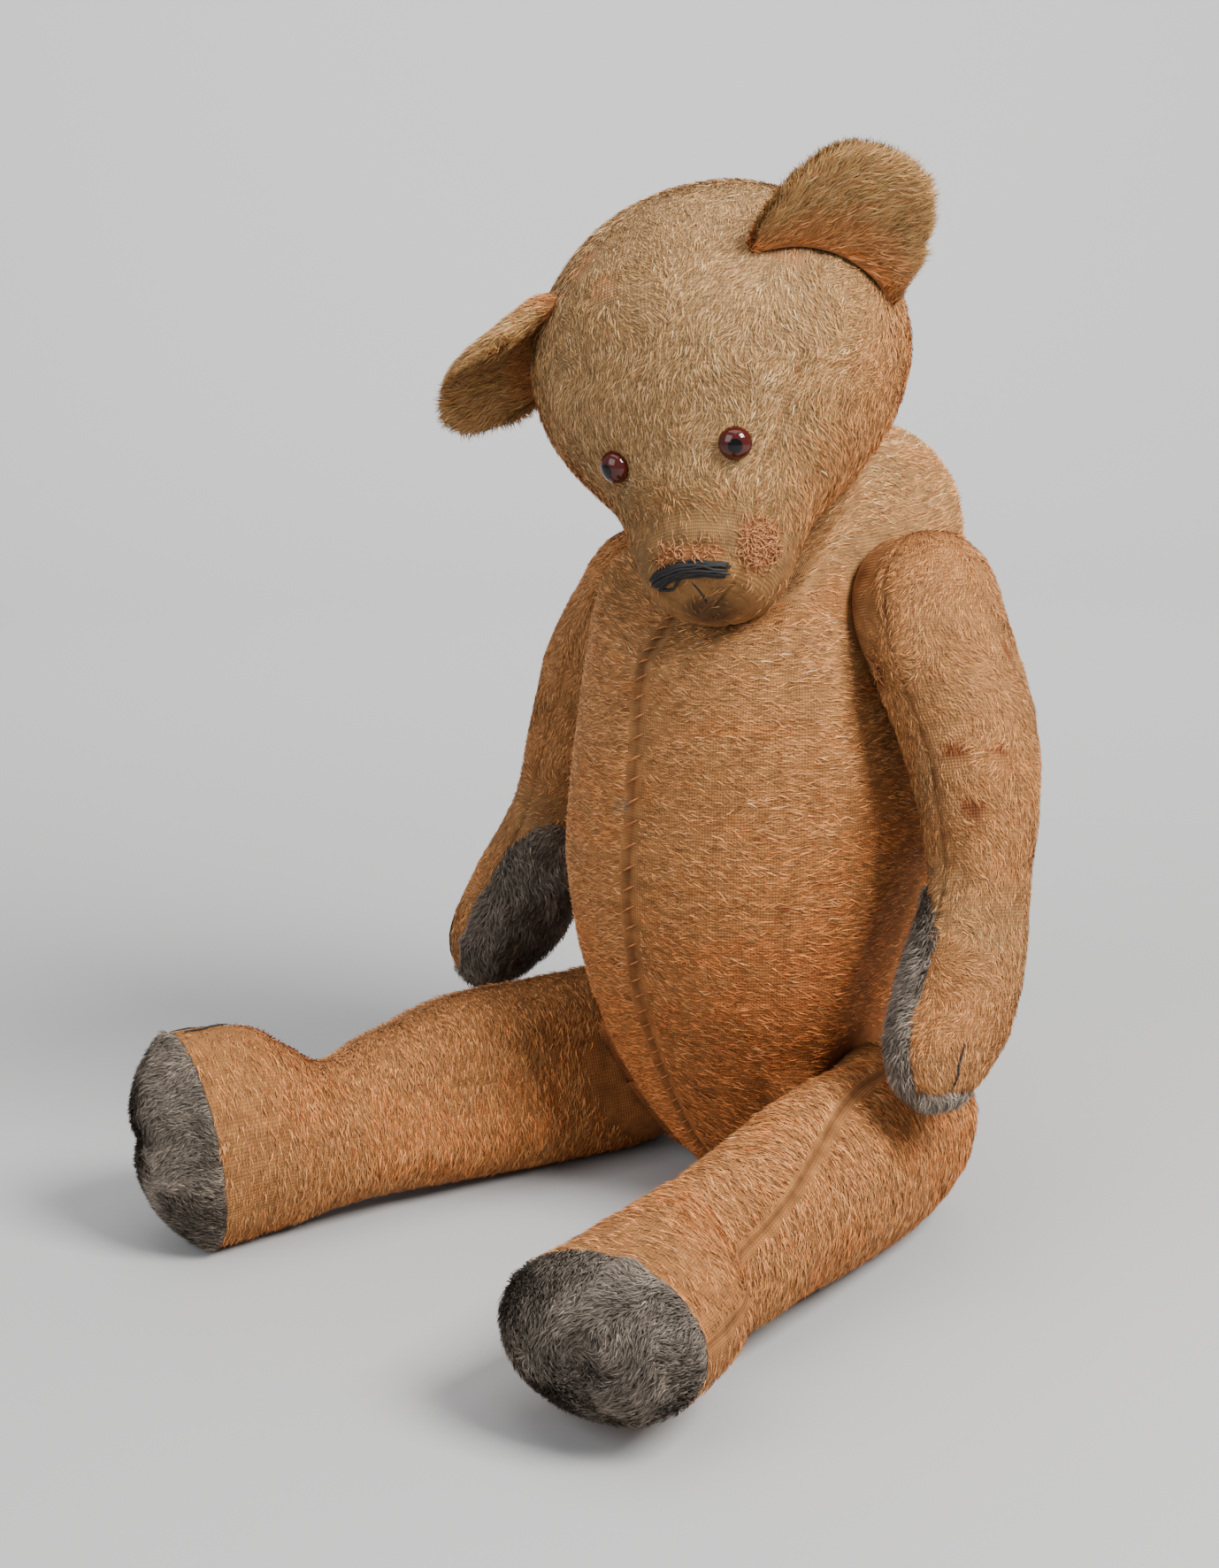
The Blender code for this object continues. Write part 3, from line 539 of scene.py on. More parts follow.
def cloth(name, thread, dark, relief):
    """Woven backing: the vertex tint, darkened between the threads and mottled, with a weave bump."""
    made, tree, shader = shader_of(name)
    link = tree.links.new
    shader.inputs["Roughness"].default_value = 0.92
    shader.inputs["Specular IOR Level"].default_value = 0.2
    uv = tree.nodes.new("ShaderNodeUVMap")
    uv.uv_map = "weave"
    waves = []
    for direction in ("X", "Y"):
        wave = node_of(tree, "TexWave", Scale=0.314 / (thread * MM), Distortion=1.5, Detail=1,
                       Detail_Scale=0.7)
        wave.bands_direction = direction
        link(uv.outputs["UV"], wave.inputs["Vector"])
        waves.append(wave.outputs["Fac"])
    both = multiplied(tree, *waves)
    tint = tree.nodes.new("ShaderNodeVertexColor")
    tint.layer_name = "tint"
    mottle = node_of(tree, "TexNoise", Scale=160, Detail=5)
    link(tree.nodes.new("ShaderNodeTexCoord").outputs["Object"], mottle.inputs["Vector"])
    spread = node_of(tree, "MapRange", From_Min=0.3, From_Max=0.7, To_Min=dark, To_Max=1.12)
    link(mottle.outputs["Fac"], spread.inputs["Value"])
    threads = node_of(tree, "MapRange", To_Min=dark, To_Max=1.08)
    link(both, threads.inputs["Value"])
    shade = tree.nodes.new("ShaderNodeVectorMath")
    shade.operation = "SCALE"
    link(tint.outputs["Color"], shade.inputs["Vector"])
    link(multiplied(tree, spread.outputs["Result"], threads.outputs["Result"]), shade.inputs["Scale"])
    link(shade.outputs["Vector"], shader.inputs["Base Color"])
    bumped(tree, shader, both, relief, 0.0006)
    return made


def speckled(name, colour, other, scale, roughness, metallic=0.0, relief=0.2):
    """A two-colour grain from noise, for hidden hardware, stitches and wood wool."""
    made, tree, shader = shader_of(name)
    link = tree.links.new
    grain = node_of(tree, "TexNoise", Scale=scale, Detail=6)
    ramp = tree.nodes.new("ShaderNodeValToRGB")
    for stop, place, shade in zip(ramp.color_ramp.elements, (0.35, 0.68), (colour, other)):
        stop.position, stop.color = place, (*linear(shade), 1)
    link(tree.nodes.new("ShaderNodeTexCoord").outputs["Object"], grain.inputs["Vector"])
    link(grain.outputs["Fac"], ramp.inputs["Fac"])
    link(ramp.outputs["Color"], shader.inputs["Base Color"])
    bumped(tree, shader, grain.outputs["Fac"], relief, 0.0004)
    shader.inputs["Roughness"].default_value = roughness
    shader.inputs["Metallic"].default_value = metallic
    return made


MOHAIR_BACKING = cloth("mohair_backing", 1.1, 0.6, 0.6)
PLUSH_BACKING = cloth("plush_backing", 0.9, 0.5, 0.4)
BLACK_THREAD = speckled("black_thread", (10, 9, 9), (26, 24, 23), 900, 0.75)
ORANGE_THREAD = speckled("orange_thread", (150, 84, 40), (196, 124, 66), 700, 0.8)
WOOD_WOOL = speckled("wood_wool_strands", (122, 64, 30), (200, 142, 88), 900, 0.8)
HARDBOARD = speckled("hardboard", (96, 66, 44), (140, 100, 70), 420, 0.85)
STEEL = speckled("worn_steel", (150, 148, 142), (196, 194, 188), 300, 0.38, 1.0, 0.1)

SHADES = {}
RIB_PITCH = 2.5


def palette(kind):
    """The constant-colour pile materials of one kind, with their sRGB colours."""
    if kind in SHADES:
        return SHADES[kind]
    if kind == "mohair":
        bases = (TAN, GOLD, ORANGE, RUST, OLIVE, BALD)
        colours = [np.array(base) * level for base in bases for level in (0.8, 1.0, 1.2)]
        colours += [np.array(SHADOW), np.array((222, 196, 158))]
    else:
        colours = [np.array((74, 67, 60)) * level for level in (0.7, 0.95, 1.2, 1.5, 1.8, 2.2)]
    colours = [np.clip(colour, 0, 238) for colour in colours]
    slots = [plain(f"{kind}_pile_{i}", c, 0.7, specular=0.15) for i, c in enumerate(colours)]
    SHADES[kind] = (np.array(colours), slots)
    return SHADES[kind]


# ---- Making pieces ----

BEAR = bpy.data.collections.new("bear")
bpy.context.scene.collection.children.link(BEAR)


def piece(name, mesh, body, materials):
    obj = bpy.data.objects.new(name, mesh)
    BEAR.objects.link(obj)
    for material in materials:
        mesh.materials.append(material)
    mesh.shade_smooth()
    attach(obj, body)
    return obj


def mesh_from(name, points, faces):
    """A mesh from points in millimetres and faces as one array of corners or a list of tuples."""
    mesh = bpy.data.meshes.new(name)
    points = np.asarray(points, np.float32) * MM
    if isinstance(faces, list):
        mesh.from_pydata(points.tolist(), [], faces)
        mesh.update()
        return mesh
    total, width = faces.shape
    mesh.vertices.add(len(points))
    mesh.vertices.foreach_set("co", points.ravel())
    mesh.loops.add(total * width)
    mesh.loops.foreach_set("vertex_index", faces.astype(np.int32).ravel())
    mesh.polygons.add(total)
    mesh.polygons.foreach_set("loop_start", np.arange(total, dtype=np.int32) * width)
    mesh.update(calc_edges=True)
    return mesh


def skin(name, grid, body, tint, material, keep=None, poles=(True, True), inset=0.0):
    """A mesh over the grid's cells that keep marks, coloured by tint and with weave coordinates."""
    rows, columns = grid.along.shape
    points = (grid.points - grid.normal * inset).reshape(-1, 3)
    faces = []
    for i in range(rows - 1):
        for j in range(columns):
            if keep is not None and not keep[i, j]:
                continue
            k = (j + 1) % columns
            here, after = i * columns, (i + 1) * columns
            faces.append((here + j, here + k, after + k, after + j))
    for which, row in enumerate((0, rows - 1)):
        if not poles[which]:
            continue
        ring = [row * columns + j for j in range(columns)]
        points = np.vstack([points, points[ring].mean(axis=0)])
        pole = len(points) - 1
        faces += [(ring[j], ring[(j + 1) % columns], pole) for j in range(columns)]
    used = sorted({corner for face in faces for corner in face})
    index = {corner: k for k, corner in enumerate(used)}
    faces = [tuple(index[corner] for corner in face) for face in faces]
    mesh = mesh_from(name, points[used], faces)
    colours = tint(grid.points, grid.along, grid.angle).reshape(-1, 3)
    extra = len(points) - rows * columns
    if extra:
        colours = np.vstack([colours, colours[-extra:]])
    colours = linear(np.clip(colours[used], 0, 255))
    layer = mesh.color_attributes.new("tint", "FLOAT_COLOR", "POINT")
    colours = np.hstack([colours, np.ones((len(used), 1))])
    layer.data.foreach_set("color", colours.astype(np.float32).ravel())
    uv = mesh.uv_layers.new(name="weave")
    corners = np.empty(len(mesh.loops), np.int32)
    mesh.loops.foreach_get("vertex_index", corners)
    waist = grid.points[rows // 2]
    span = np.linalg.norm(waist - np.roll(waist, 1, 0), axis=-1).sum()
    around = np.zeros(len(points))
    around[: rows * columns] = (grid.angle / 360 * span).ravel()
    along = np.zeros(len(points))
    along[: rows * columns] = grid.along.ravel()
    flat = np.stack([around[used][corners], along[used][corners]], axis=1) * MM
    uv.data.foreach_set("uv", flat.astype(np.float32).ravel())
    obj = piece(name, mesh, body, [material])
    recalculate(obj.data)
    return obj


def recalculate(mesh):
    body = bmesh.new()
    body.from_mesh(mesh)
    bmesh.ops.recalc_face_normals(body, faces=body.faces)
    body.to_mesh(mesh)
    body.free()


def pile(name, body, spots, flow, length, width, lift, tint, kind, jitter=0.16, rib=0.0):
    """Short ribbons of pile lying over the cloth. flow gives each spot's direction in its tangent plane."""
    rng, p, n = spots["rng"], spots["points"], spots["normal"]
    count = len(p)
    direction = flow - n * (flow * n).sum(-1, keepdims=True)
    direction = unit(direction)
    side = np.cross(direction, n)
    wander = (rng.rand(count, 1) - 0.5) * 0.8
    direction = unit(direction + side * wander)
    side = unit(np.cross(direction, n))
    roll = (rng.rand(count, 1) - 0.5) * 1.3
    side = unit(side * np.cos(roll) + n * np.sin(roll))
    length = (length * (0.6 + 0.8 * rng.rand(count)))[:, None]
    lift = (lift * (0.5 + 1.0 * rng.rand(count)))[:, None]
    bend = side * ((rng.rand(count, 1) - 0.5) * 0.35) * length
    root = p - n * 0.4
    middle = root + (direction * np.cos(lift) + n * np.sin(lift)) * length * 0.5
    tip = middle + (direction * np.cos(lift * 0.3) + n * np.sin(lift * 0.3)) * length * 0.5 + bend
    half = side * (width * (0.6 + 0.8 * rng.rand(count)))[:, None] / 2
    points = np.stack([root - half, root + half, middle + half * 0.9, middle - half * 0.9, tip], axis=1)
    points[..., 2] = np.maximum(points[..., 2], 0.15)
    base = np.arange(count)[:, None] * 5
    loops = np.hstack([base + 0, base + 1, base + 2, base + 3, base + 3, base + 2, base + 4])
    mesh = bpy.data.meshes.new(name)
    mesh.vertices.add(count * 5)
    mesh.vertices.foreach_set("co", (points.reshape(-1) * MM).astype(np.float32))
    mesh.loops.add(count * 7)
    mesh.loops.foreach_set("vertex_index", loops.astype(np.int32).ravel())
    mesh.polygons.add(count * 2)
    starts = np.hstack([np.arange(count)[:, None] * 7, np.arange(count)[:, None] * 7 + 4])
    mesh.polygons.foreach_set("loop_start", starts.astype(np.int32).ravel())
    colours, slots = palette(kind)
    target = tint(p, spots["along"], spots["angle"]) * (1 + jitter * rng.randn(count, 1))
    target = target * (1 + rib * np.cos(math.tau * spots["along"] / RIB_PITCH))[:, None]
    target = target + rng.randn(count, 3) * 5
    nearest = np.zeros(count, int)
    best = np.full(count, 1e9)
    for k, colour in enumerate(colours):
        distance = ((target - colour) ** 2).sum(-1)
        closer = distance < best
        nearest[closer], best[closer] = k, distance[closer]
    used = np.unique(nearest)
    remap = np.zeros(len(colours), int)
    remap[used] = np.arange(len(used))
    mesh.polygons.foreach_set("material_index", np.repeat(remap[nearest], 2).astype(np.int32))
    mesh.update(calc_edges=True)
    piece(name, mesh, body, [slots[k] for k in used])


def tubes(name, paths, radius, body, material, sides=5):
    """Threads: one closed tube along each path of points, in millimetres."""
    points, faces = [], []
    for path in paths:
        path = np.asarray(path, float)
        along = unit(np.gradient(path, axis=0))
        guide = np.array((0.31, 0.17, 0.94))
        first = unit(np.cross(along, guide))
        second = np.cross(along, first)
        start = len(points)
        for i, spot in enumerate(path):
            taper = 0.45 if i in (0, len(path) - 1) else 1.0
            for k in range(sides):
                turn = math.tau * k / sides
                outward = first[i] * math.cos(turn) + second[i] * math.sin(turn)
                points.append(spot + outward * radius * taper)
        for i in range(len(path) - 1):
            for k in range(sides):
                m = (k + 1) % sides
                a, b = start + i * sides, start + (i + 1) * sides
                faces.append((a + k, a + m, b + m, b + k))
        faces.append(tuple(start + k for k in range(sides))[::-1])
        last = start + (len(path) - 1) * sides
        faces.append(tuple(last + k for k in range(sides)))
    mesh = mesh_from(name, np.array(points), faces)
    obj = piece(name, mesh, body, [material])
    recalculate(obj.data)
    return obj


def tangled(name, body, grid, place, count, seed):
    """Wood wool curls lying in a worn place of a surface, which they follow."""
    rng = np.random.RandomState(seed)
    middle, turn, length, width = place
    row = int(np.abs(grid.along[:, 0] - middle).argmin())
    column = int(round((turn % 360) / 360 * grid.columns)) % grid.columns
    centre, normal = grid.points[row, column], grid.normal[row, column]
    down, sideways = grid.down[row, column], grid.round[row, column]
    near = np.linalg.norm(grid.points - centre, axis=-1) < max(length, width) * 1.8 + 4
    cloud, cloud_normals = grid.points[near], grid.normal[near]
    paths = []
    for _ in range(count):
        far, at = math.sqrt(rng.rand()), rng.rand() * math.tau
        place_now = (centre + down * far * math.cos(at) * length * 0.9
                     + sideways * far * math.sin(at) * width * 0.9)
        heading, bend, lift = rng.rand() * math.tau, rng.randn() * 0.45, 0.3 + rng.rand() * 1.3
        path = []
        for k in range(8):
            nearest = np.linalg.norm(cloud - place_now, axis=-1).argmin()
            out = cloud_normals[nearest]
            place_now = place_now - out * ((place_now - cloud[nearest]) @ out)
            path.append(place_now + out * (lift * math.sin(math.pi * k / 7) - 0.1))
            heading += bend + rng.randn() * 0.3
            place_now = place_now + (down * math.cos(heading) + sideways * math.sin(heading)) * 0.95
        paths.append(path)
    tubes(name, paths, 0.17, body, WOOD_WOOL, sides=4)


DENSITY = 1.0
STRANDS = {
    "torso": 60000, "head": 46000, "arm": 52000, "leg": 64000, "ear": 26000, "paw": 20000, "foot": 34000,
}


def strands(kind):
    return int(STRANDS[kind] * DENSITY)


# ---- The bodies ----


def joint_clear(points):
    """0 on the cloth that a joint presses flat, where lumps and pile would rub, and 1 away from it."""
    clear = 1.0
    for name, joint in JOINTS.items():
        radius = DISC_RADIUS[name.split("_")[-1]]
        away = points - np.array(joint["pos_m"]) / MM
        axis = np.array(joint["axis"], float)
        height = away @ axis
        sideways = np.linalg.norm(away - height[..., None] * axis, axis=-1)
        pressed = smoothstep(radius + 20, radius + 10, sideways) * smoothstep(9, 5, np.abs(height))
        clear = clear * (1 - pressed)
    return clear


def seam_groove(angle, centres, depth, width, radius):
    """A shallow groove at the given angles, in millimetres."""
    total = np.zeros_like(angle)
    for centre in centres:
        away = np.abs(across_from(angle, centre, radius))
        total -= depth * np.exp(-(away / width) ** 2)
    return total


def swirled(spots, across, along, down, down_swing, round_swing):
    """A wandering flow. across and along are the (size, seed) of its two noises."""
    wave = fractal(spots["points"], *across) - 0.5
    other = fractal(spots["points"], *along) - 0.5
    return (spots["down"] * (down + down_swing * other[:, None])
            + spots["round"] * (round_swing * wave[:, None]))


def banded(spots, wave, down, swing):
    """A flow round the body, away from its front seam on both sides, that wave bends up and down."""
    away = np.where(np.sin(np.radians(spots["angle"])) > 0, 1.0, -1.0)[:, None]
    return spots["round"] * away + spots["down"] * (down + swing * wave[:, None])


def build_torso():
    grid = torso_surface()
    lumps = (fractal(grid.points, 46, 71) - 0.5) * 2.6 + (fractal(grid.points, 15, 75) - 0.5) * 0.9
    lumps = lumps * joint_clear(grid.points) * smoothstep(0, 30, grid.points[..., 2])
    grid.push(lumps + seam_groove(grid.angle, SIDE_SEAMS, 0.9, 1.6, TORSO_SEAM_RADIUS))
    grid.stand(0)
    obj = skin("torso_skin", grid, "torso", torso_tint, MOHAIR_BACKING)
    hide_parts("torso_left_panel", "torso_right_panel", "torso_stuffing")
    worn = smoothstep(0.66, 0.5, fractal(grid.points, 34, 83)) * 0.6 + 0.4
    seams = seam_line(grid.angle, SIDE_SEAMS, TORSO_SEAM_RADIUS, 1.6)
    mask = worn * joint_clear(grid.points) * (1 - 0.85 * seams)
    for part in range(2):
        spots = grid.scatter(strands("torso"), 101 + part, mask)
        wave = fractal(spots["points"] * np.array((1, 1, 2.2)), 20, 81) - 0.5
        flow = banded(spots, wave, -0.1, 1.0)
        pile(f"torso_pile_{part + 1}", "torso", spots, flow, 4.8, 0.36, 0.2, torso_tint, "mohair",
             0.15, 0.2)
    seam_stitches(grid)
    return grid


def seam_stitches(grid):
    """Orange thread that closes the seam down the front of the torso."""
    rows = range(16, grid.along.shape[0] - 26, 2)
    paths = []
    for i in rows:
        left, right = grid.points[i, -1], grid.points[i + 1, 1]
        n = grid.normal[i, 0]
        middle = (left + right) / 2 + n * 0.9
        paths.append([left + n * 0.2, middle, right + n * 0.2])
    tubes("torso_front_seam_thread", paths, 0.35, "torso", ORANGE_THREAD)


def build_head():
    grid = head_surface()
    lumps = (fractal(grid.points, 40, 91) - 0.5) * 2.4
    groove = seam_groove(grid.angle, (GUSSET_ANGLE, -GUSSET_ANGLE), 1.0, 1.8, 55)
    groove = groove + seam_groove(grid.angle, (180,), 1.0, 1.8, 45)
    grid.push(lumps * joint_clear(grid.points) + groove * smoothstep(-58, -30, grid.along))
    obj = skin("head_skin", grid, "head", head_tint, MOHAIR_BACKING)
    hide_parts("head_gusset", "head_left_side", "head_right_side", "head_stuffing")
    ragged = fractal(grid.points, 5, 29)
    mask = 0.05 + 0.95 * smoothstep(80, 62, grid.along + 10 * (fractal(grid.points, 12, 99) - 0.5))
    mask = mask * joint_clear(grid.points)
    mask = mask * (1 - 0.8 * seam_line(grid.angle, HEAD_SEAMS, HEAD_SEAM_RADIUS, 1.4))
    for place in HEAD_BALD:
        mask = mask * (1 - 0.8 * spot(grid.along, grid.angle, HEAD_SPOT_RADIUS, place, ragged))
    for place in MUZZLE_TEARS:
        mask = mask * (1 - spot(grid.along, grid.angle, MUZZLE_SPOT_RADIUS, place, ragged))
    for part in range(2):
        spots = grid.scatter(strands("head"), 103 + part, mask)
        flow = swirled(spots, (22, 95), (17, 97), 0.55, 1.6, 2.8)
        pile(f"head_pile_{part + 1}", "head", spots, flow, 4.0, 0.32, 0.3, head_tint, "mohair",
             0.17, 0.0)
    return grid


def build_arm(side_name):
    side = SIDES[side_name]
    grid = arm_surface(side_name)
    body = f"{side_name}_arm"
    lumps = (fractal(grid.points, 32, 111 + side) - 0.5) * 2.0 + (fractal(grid.points, 12, 115) - 0.5) * 0.8
    groove = seam_groove(grid.angle, SIDE_SEAMS, 0.6, 1.3, ARM_SEAM_RADIUS)
    grid.push(lumps * joint_clear(grid.points) + groove)
    inner = -side * np.sin(np.radians(grid.angle))
    edge = PAW_PAD_FROM - 2 + 16 * (1 - np.clip(inner, 0, 1)) ** 2.5
    pad = ((inner > -0.12) & (grid.along > edge)) | (grid.along > 175)
    tint = worn_arm_tint(side_name)
    arm = skin(f"{body}_skin", grid, body, tint, MOHAIR_BACKING, keep=~pad[:-1], poles=(True, False))
    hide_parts(f"{body}_outer_panel", f"{body}_inner_panel", f"{body}_stuffing")
    paw = skin(f"{side_name}_paw_pad_skin", grid, body, pad_tint, PLUSH_BACKING, keep=pad[:-1],
               poles=(False, True), inset=0.25)
    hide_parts(f"{side_name}_paw_pad")
    ragged = fractal(grid.points, 3.5, 39)
    worn = 0.25 + 0.75 * smoothstep(0.6, 0.42, fractal(grid.points, 26, 117))
    seams = seam_line(grid.angle, SIDE_SEAMS, ARM_SEAM_RADIUS, 1.3)
    mask = worn * ~pad * joint_clear(grid.points) * (1 - 0.8 * seams)
    for place in (*ARM_HOLES[side_name], ARM_TEARS[side_name]):
        mask = mask * (1 - spot(grid.along, grid.angle, ARM_SPOT_RADIUS, place, ragged))
    spots = grid.scatter(strands("arm"), 120 + side, mask)
    flow = swirled(spots, (18, 125), (15, 126), 0.5, 2.0, 2.6)
    pile(f"{body}_pile", body, spots, flow, 3.6, 0.32, 0.28, tint, "mohair", 0.16, 0.08)
    tangled(f"{body}_tear_wood_wool", body, grid, ARM_TEARS[side_name], 26, 221 + side)
    spots = grid.scatter(strands("paw"), 124 + side, pad.astype(float))
    wave = fractal(spots["points"], 12, 127) - 0.5
    flow = spots["down"] * 0.5 + spots["round"] * (3.0 * wave[:, None])
    pile(f"{side_name}_paw_pad_pile", body, spots, flow, 4.2, 0.4, 0.85, pad_tint, "plush",
         0.16)
    return grid


def build_leg(side_name):
    side = SIDES[side_name]
    grid = leg_surface(side_name)
    body = f"{side_name}_leg"
    lumps = (fractal(grid.points, 34, 131 + side) - 0.5) * 2.4 + (fractal(grid.points, 13, 135) - 0.5) * 0.9
    lumps = lumps * joint_clear(grid.points)
    grid.push(lumps * smoothstep(196, 180, grid.along) * smoothstep(0, 12, grid.points[..., 2])
              + seam_groove(grid.angle, SIDE_SEAMS, 0.7, 1.4, LEG_SEAM_RADIUS))
    grid.stand(LEG_LIFT)
    leg = skin(f"{body}_skin", grid, body, leg_tint, MOHAIR_BACKING, poles=(True, False))
    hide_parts(f"{body}_outer_panel", f"{body}_inner_panel", f"{body}_stuffing")
    sole, outward = sole_surface(grid)
    crease = np.cos(np.radians(sole.angle))[..., None] * (1 - sole.along[..., None] / 40)
    line = np.exp(-((crease[..., 0] - 0.1) / 0.12) ** 2) * smoothstep(4, 14, sole.along)
    sole.points = sole.points - outward * (line * 2.2)[..., None]
    bumps = (fractal(sole.points, 18, 139 + side) - 0.5) * 3.0 * smoothstep(0, 10, sole.along)
    sole.points = sole.points + outward * bumps[..., None]
    normal = sole.normal
    sole.stand(LEG_LIFT)
    if (sole.normal * normal).sum() < 0:
        sole.normal = -sole.normal
    foot = skin(f"{side_name}_foot_pad_skin", sole, body, pad_tint, PLUSH_BACKING, poles=(False, True))
    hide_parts(f"{side_name}_foot_pad")
    mask = joint_clear(grid.points) * (1 - 0.8 * seam_line(grid.angle, SIDE_SEAMS, LEG_SEAM_RADIUS, 1.4))
    mask = mask * (0.3 + 0.7 * smoothstep(178, 150, grid.along))
    spots = grid.scatter(strands("leg"), 140 + side, mask)
    wave = fractal(spots["points"], 20, 145) - 0.5
    flow = banded(spots, wave, 0.2, 1.3)
    pile(f"{body}_pile", body, spots, flow, 4.8, 0.36, 0.22, leg_tint, "mohair", 0.15, 0.18)
    tangled(f"{body}_tear_wood_wool", body, grid, ANKLE_TEAR[side_name], 30, 231 + side)
    spots = sole.scatter(strands("foot"), 150 + side)
    flow = swirled(spots, (12, 155), (15, 157), 0.4, 2.0, 3.0)
    pile(f"{side_name}_foot_pad_pile", body, spots, flow, 4.0, 0.4, 0.9, pad_tint, "plush",
         0.16)
    return grid, sole


def ear_surface(side_name):
    """Both faces of one cupped ear as one grid: rows from the foot to the rim, columns round it."""
    side = SIDES[side_name]
    lean = EAR_LEAN[side_name].normalized()
    across_steps, up_steps = 36, 20
    middle = np.zeros((up_steps + 1, across_steps + 1, 3))
    for i in range(up_steps + 1):
        for j in range(across_steps + 1):
            across = 2 * j / across_steps - 1
            base = on_head(
                -EAR_CUP * (1 - across * across), EAR_MIDDLE + EAR_HALF_SPAN * across, EAR_FOOT - 3
            )
            height = EAR_HEIGHT[side_name] * math.sqrt(1 - (0.96 * across) ** 4) + 0.5
            point = base + lean * (EAR_LIFT + height * i / up_steps)
            middle[i, j] = (point.x * side, point.y, point.z)
    middle = placed(HEAD_FRAME, middle)
    along = np.gradient(middle, axis=0)
    across = np.gradient(middle, axis=1)
    normal = unit(np.cross(across, along))
    up = np.linspace(0, 1, up_steps + 1)[:, None]
    sideways = np.abs(np.linspace(-1, 1, across_steps + 1))[None, :]
    swell = np.sqrt(np.clip(1 - np.maximum(up ** 4, sideways ** 6), 0, 1))
    thick = (1.0 + 2.6 * swell)[..., None]
    front, back = middle + normal * thick, middle - normal * thick
    grid = Surface(np.zeros((up_steps + 1, 4)), 2 * (across_steps + 1), (0, 0, 1), (0, -1, 0))
    grid.points = np.concatenate([front, back[:, ::-1]], axis=1)
    grid.along = np.broadcast_to(up, grid.along.shape).copy()
    grid.refresh()
    outward = np.concatenate([normal, -normal[:, ::-1]], axis=1)
    grid.normal = np.where(((grid.normal * outward).sum(-1) < 0)[..., None], -grid.normal, grid.normal)
    return grid


def build_ear(side_name):
    grid = ear_surface(side_name)
    rows, columns = grid.along.shape
    bumps = (fractal(grid.points, 16, 161) - 0.5) * 1.4
    grid.points = grid.points + grid.normal * (bumps * smoothstep(0.1, 0.4, grid.along))[..., None]
    obj = skin(f"{side_name}_ear_skin", grid, "head", ear_tint, MOHAIR_BACKING, poles=(False, False))
    half = columns // 2
    closing = [((rows - 1) * columns + j, (rows - 1) * columns + j + 1,
                (rows - 1) * columns + columns - 2 - j, (rows - 1) * columns + columns - 1 - j)
               for j in range(half - 1)]
    extend(obj.data, closing)
    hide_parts(f"{side_name}_ear_front", f"{side_name}_ear_back")
    spots = grid.scatter(strands("ear"), 170 + SIDES[side_name])
    wave = fractal(spots["points"], 14, 175) - 0.5
    flow = spots["down"] * 0.7 + spots["round"] * (0.5 + 1.6 * wave[:, None])
    pile(f"{side_name}_ear_pile", "head", spots, flow, 5.4, 0.36, 0.36, ear_tint, "mohair",
         0.17)


def extend(mesh, faces):
    """Adds faces to a mesh over its own points."""
    body = bmesh.new()
    body.from_mesh(mesh)
    body.verts.ensure_lookup_table()
    for corners in faces:
        body.faces.new([body.verts[corner] for corner in corners])
    bmesh.ops.recalc_face_normals(body, faces=body.faces)
    for face in body.faces:
        face.smooth = True
    body.to_mesh(mesh)
    body.free()


# ---- The face ----

IRIS = plain("brown_glass", (62, 14, 8), 0.08)
PUPIL = plain("black_glass", (5, 4, 4), 0.07, specular=0.35)


def build_eye(side_name):
    """A glass eye: a shallow dome with a black pupil in a red-brown iris."""
    side = SIDES[side_name]
    point, normal = head_spot(EYE_FORWARD, side * EYE_ANGLE, EYE_LIFT)
    turn = normal.to_track_quat("Z", "Y").to_matrix()
    points, faces, slots = [], [], []
    sides, rings = 32, 12
    for i in range(rings + 3):
        if i <= rings:
            angle = math.radians(4 + (90 - 4) * i / rings)
            radius, height = EYE_RADIUS * math.sin(angle), EYE_HEIGHT * math.cos(angle)
        else:
            radius, height = EYE_RADIUS * (0.93 if i == rings + 1 else 0.5), -1.0
        for k in range(sides):
            a = math.tau * k / sides
            local = Vector((radius * math.cos(a), radius * math.sin(a), height))
            points.append(point + turn @ local)
    for i in range(rings + 2):
        for k in range(sides):
            m = (k + 1) % sides
            faces.append((i * sides + k, i * sides + m, (i + 1) * sides + m, (i + 1) * sides + k))
            slots.append(1 if i < 3 else 0)
    faces.append(tuple(range(sides)))
    slots.append(1)
    last = (rings + 2) * sides
    faces.append(tuple(last + k for k in range(sides)))
    slots.append(0)
    mesh = mesh_from(f"{side_name}_eye_dome", np.array([list(p) for p in points]), faces)
    mesh.polygons.foreach_set("material_index", slots)
    obj = piece(f"{side_name}_eye_dome", mesh, "head", [IRIS, PUPIL])
    recalculate(obj.data)
    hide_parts(f"{side_name}_glass_eye")


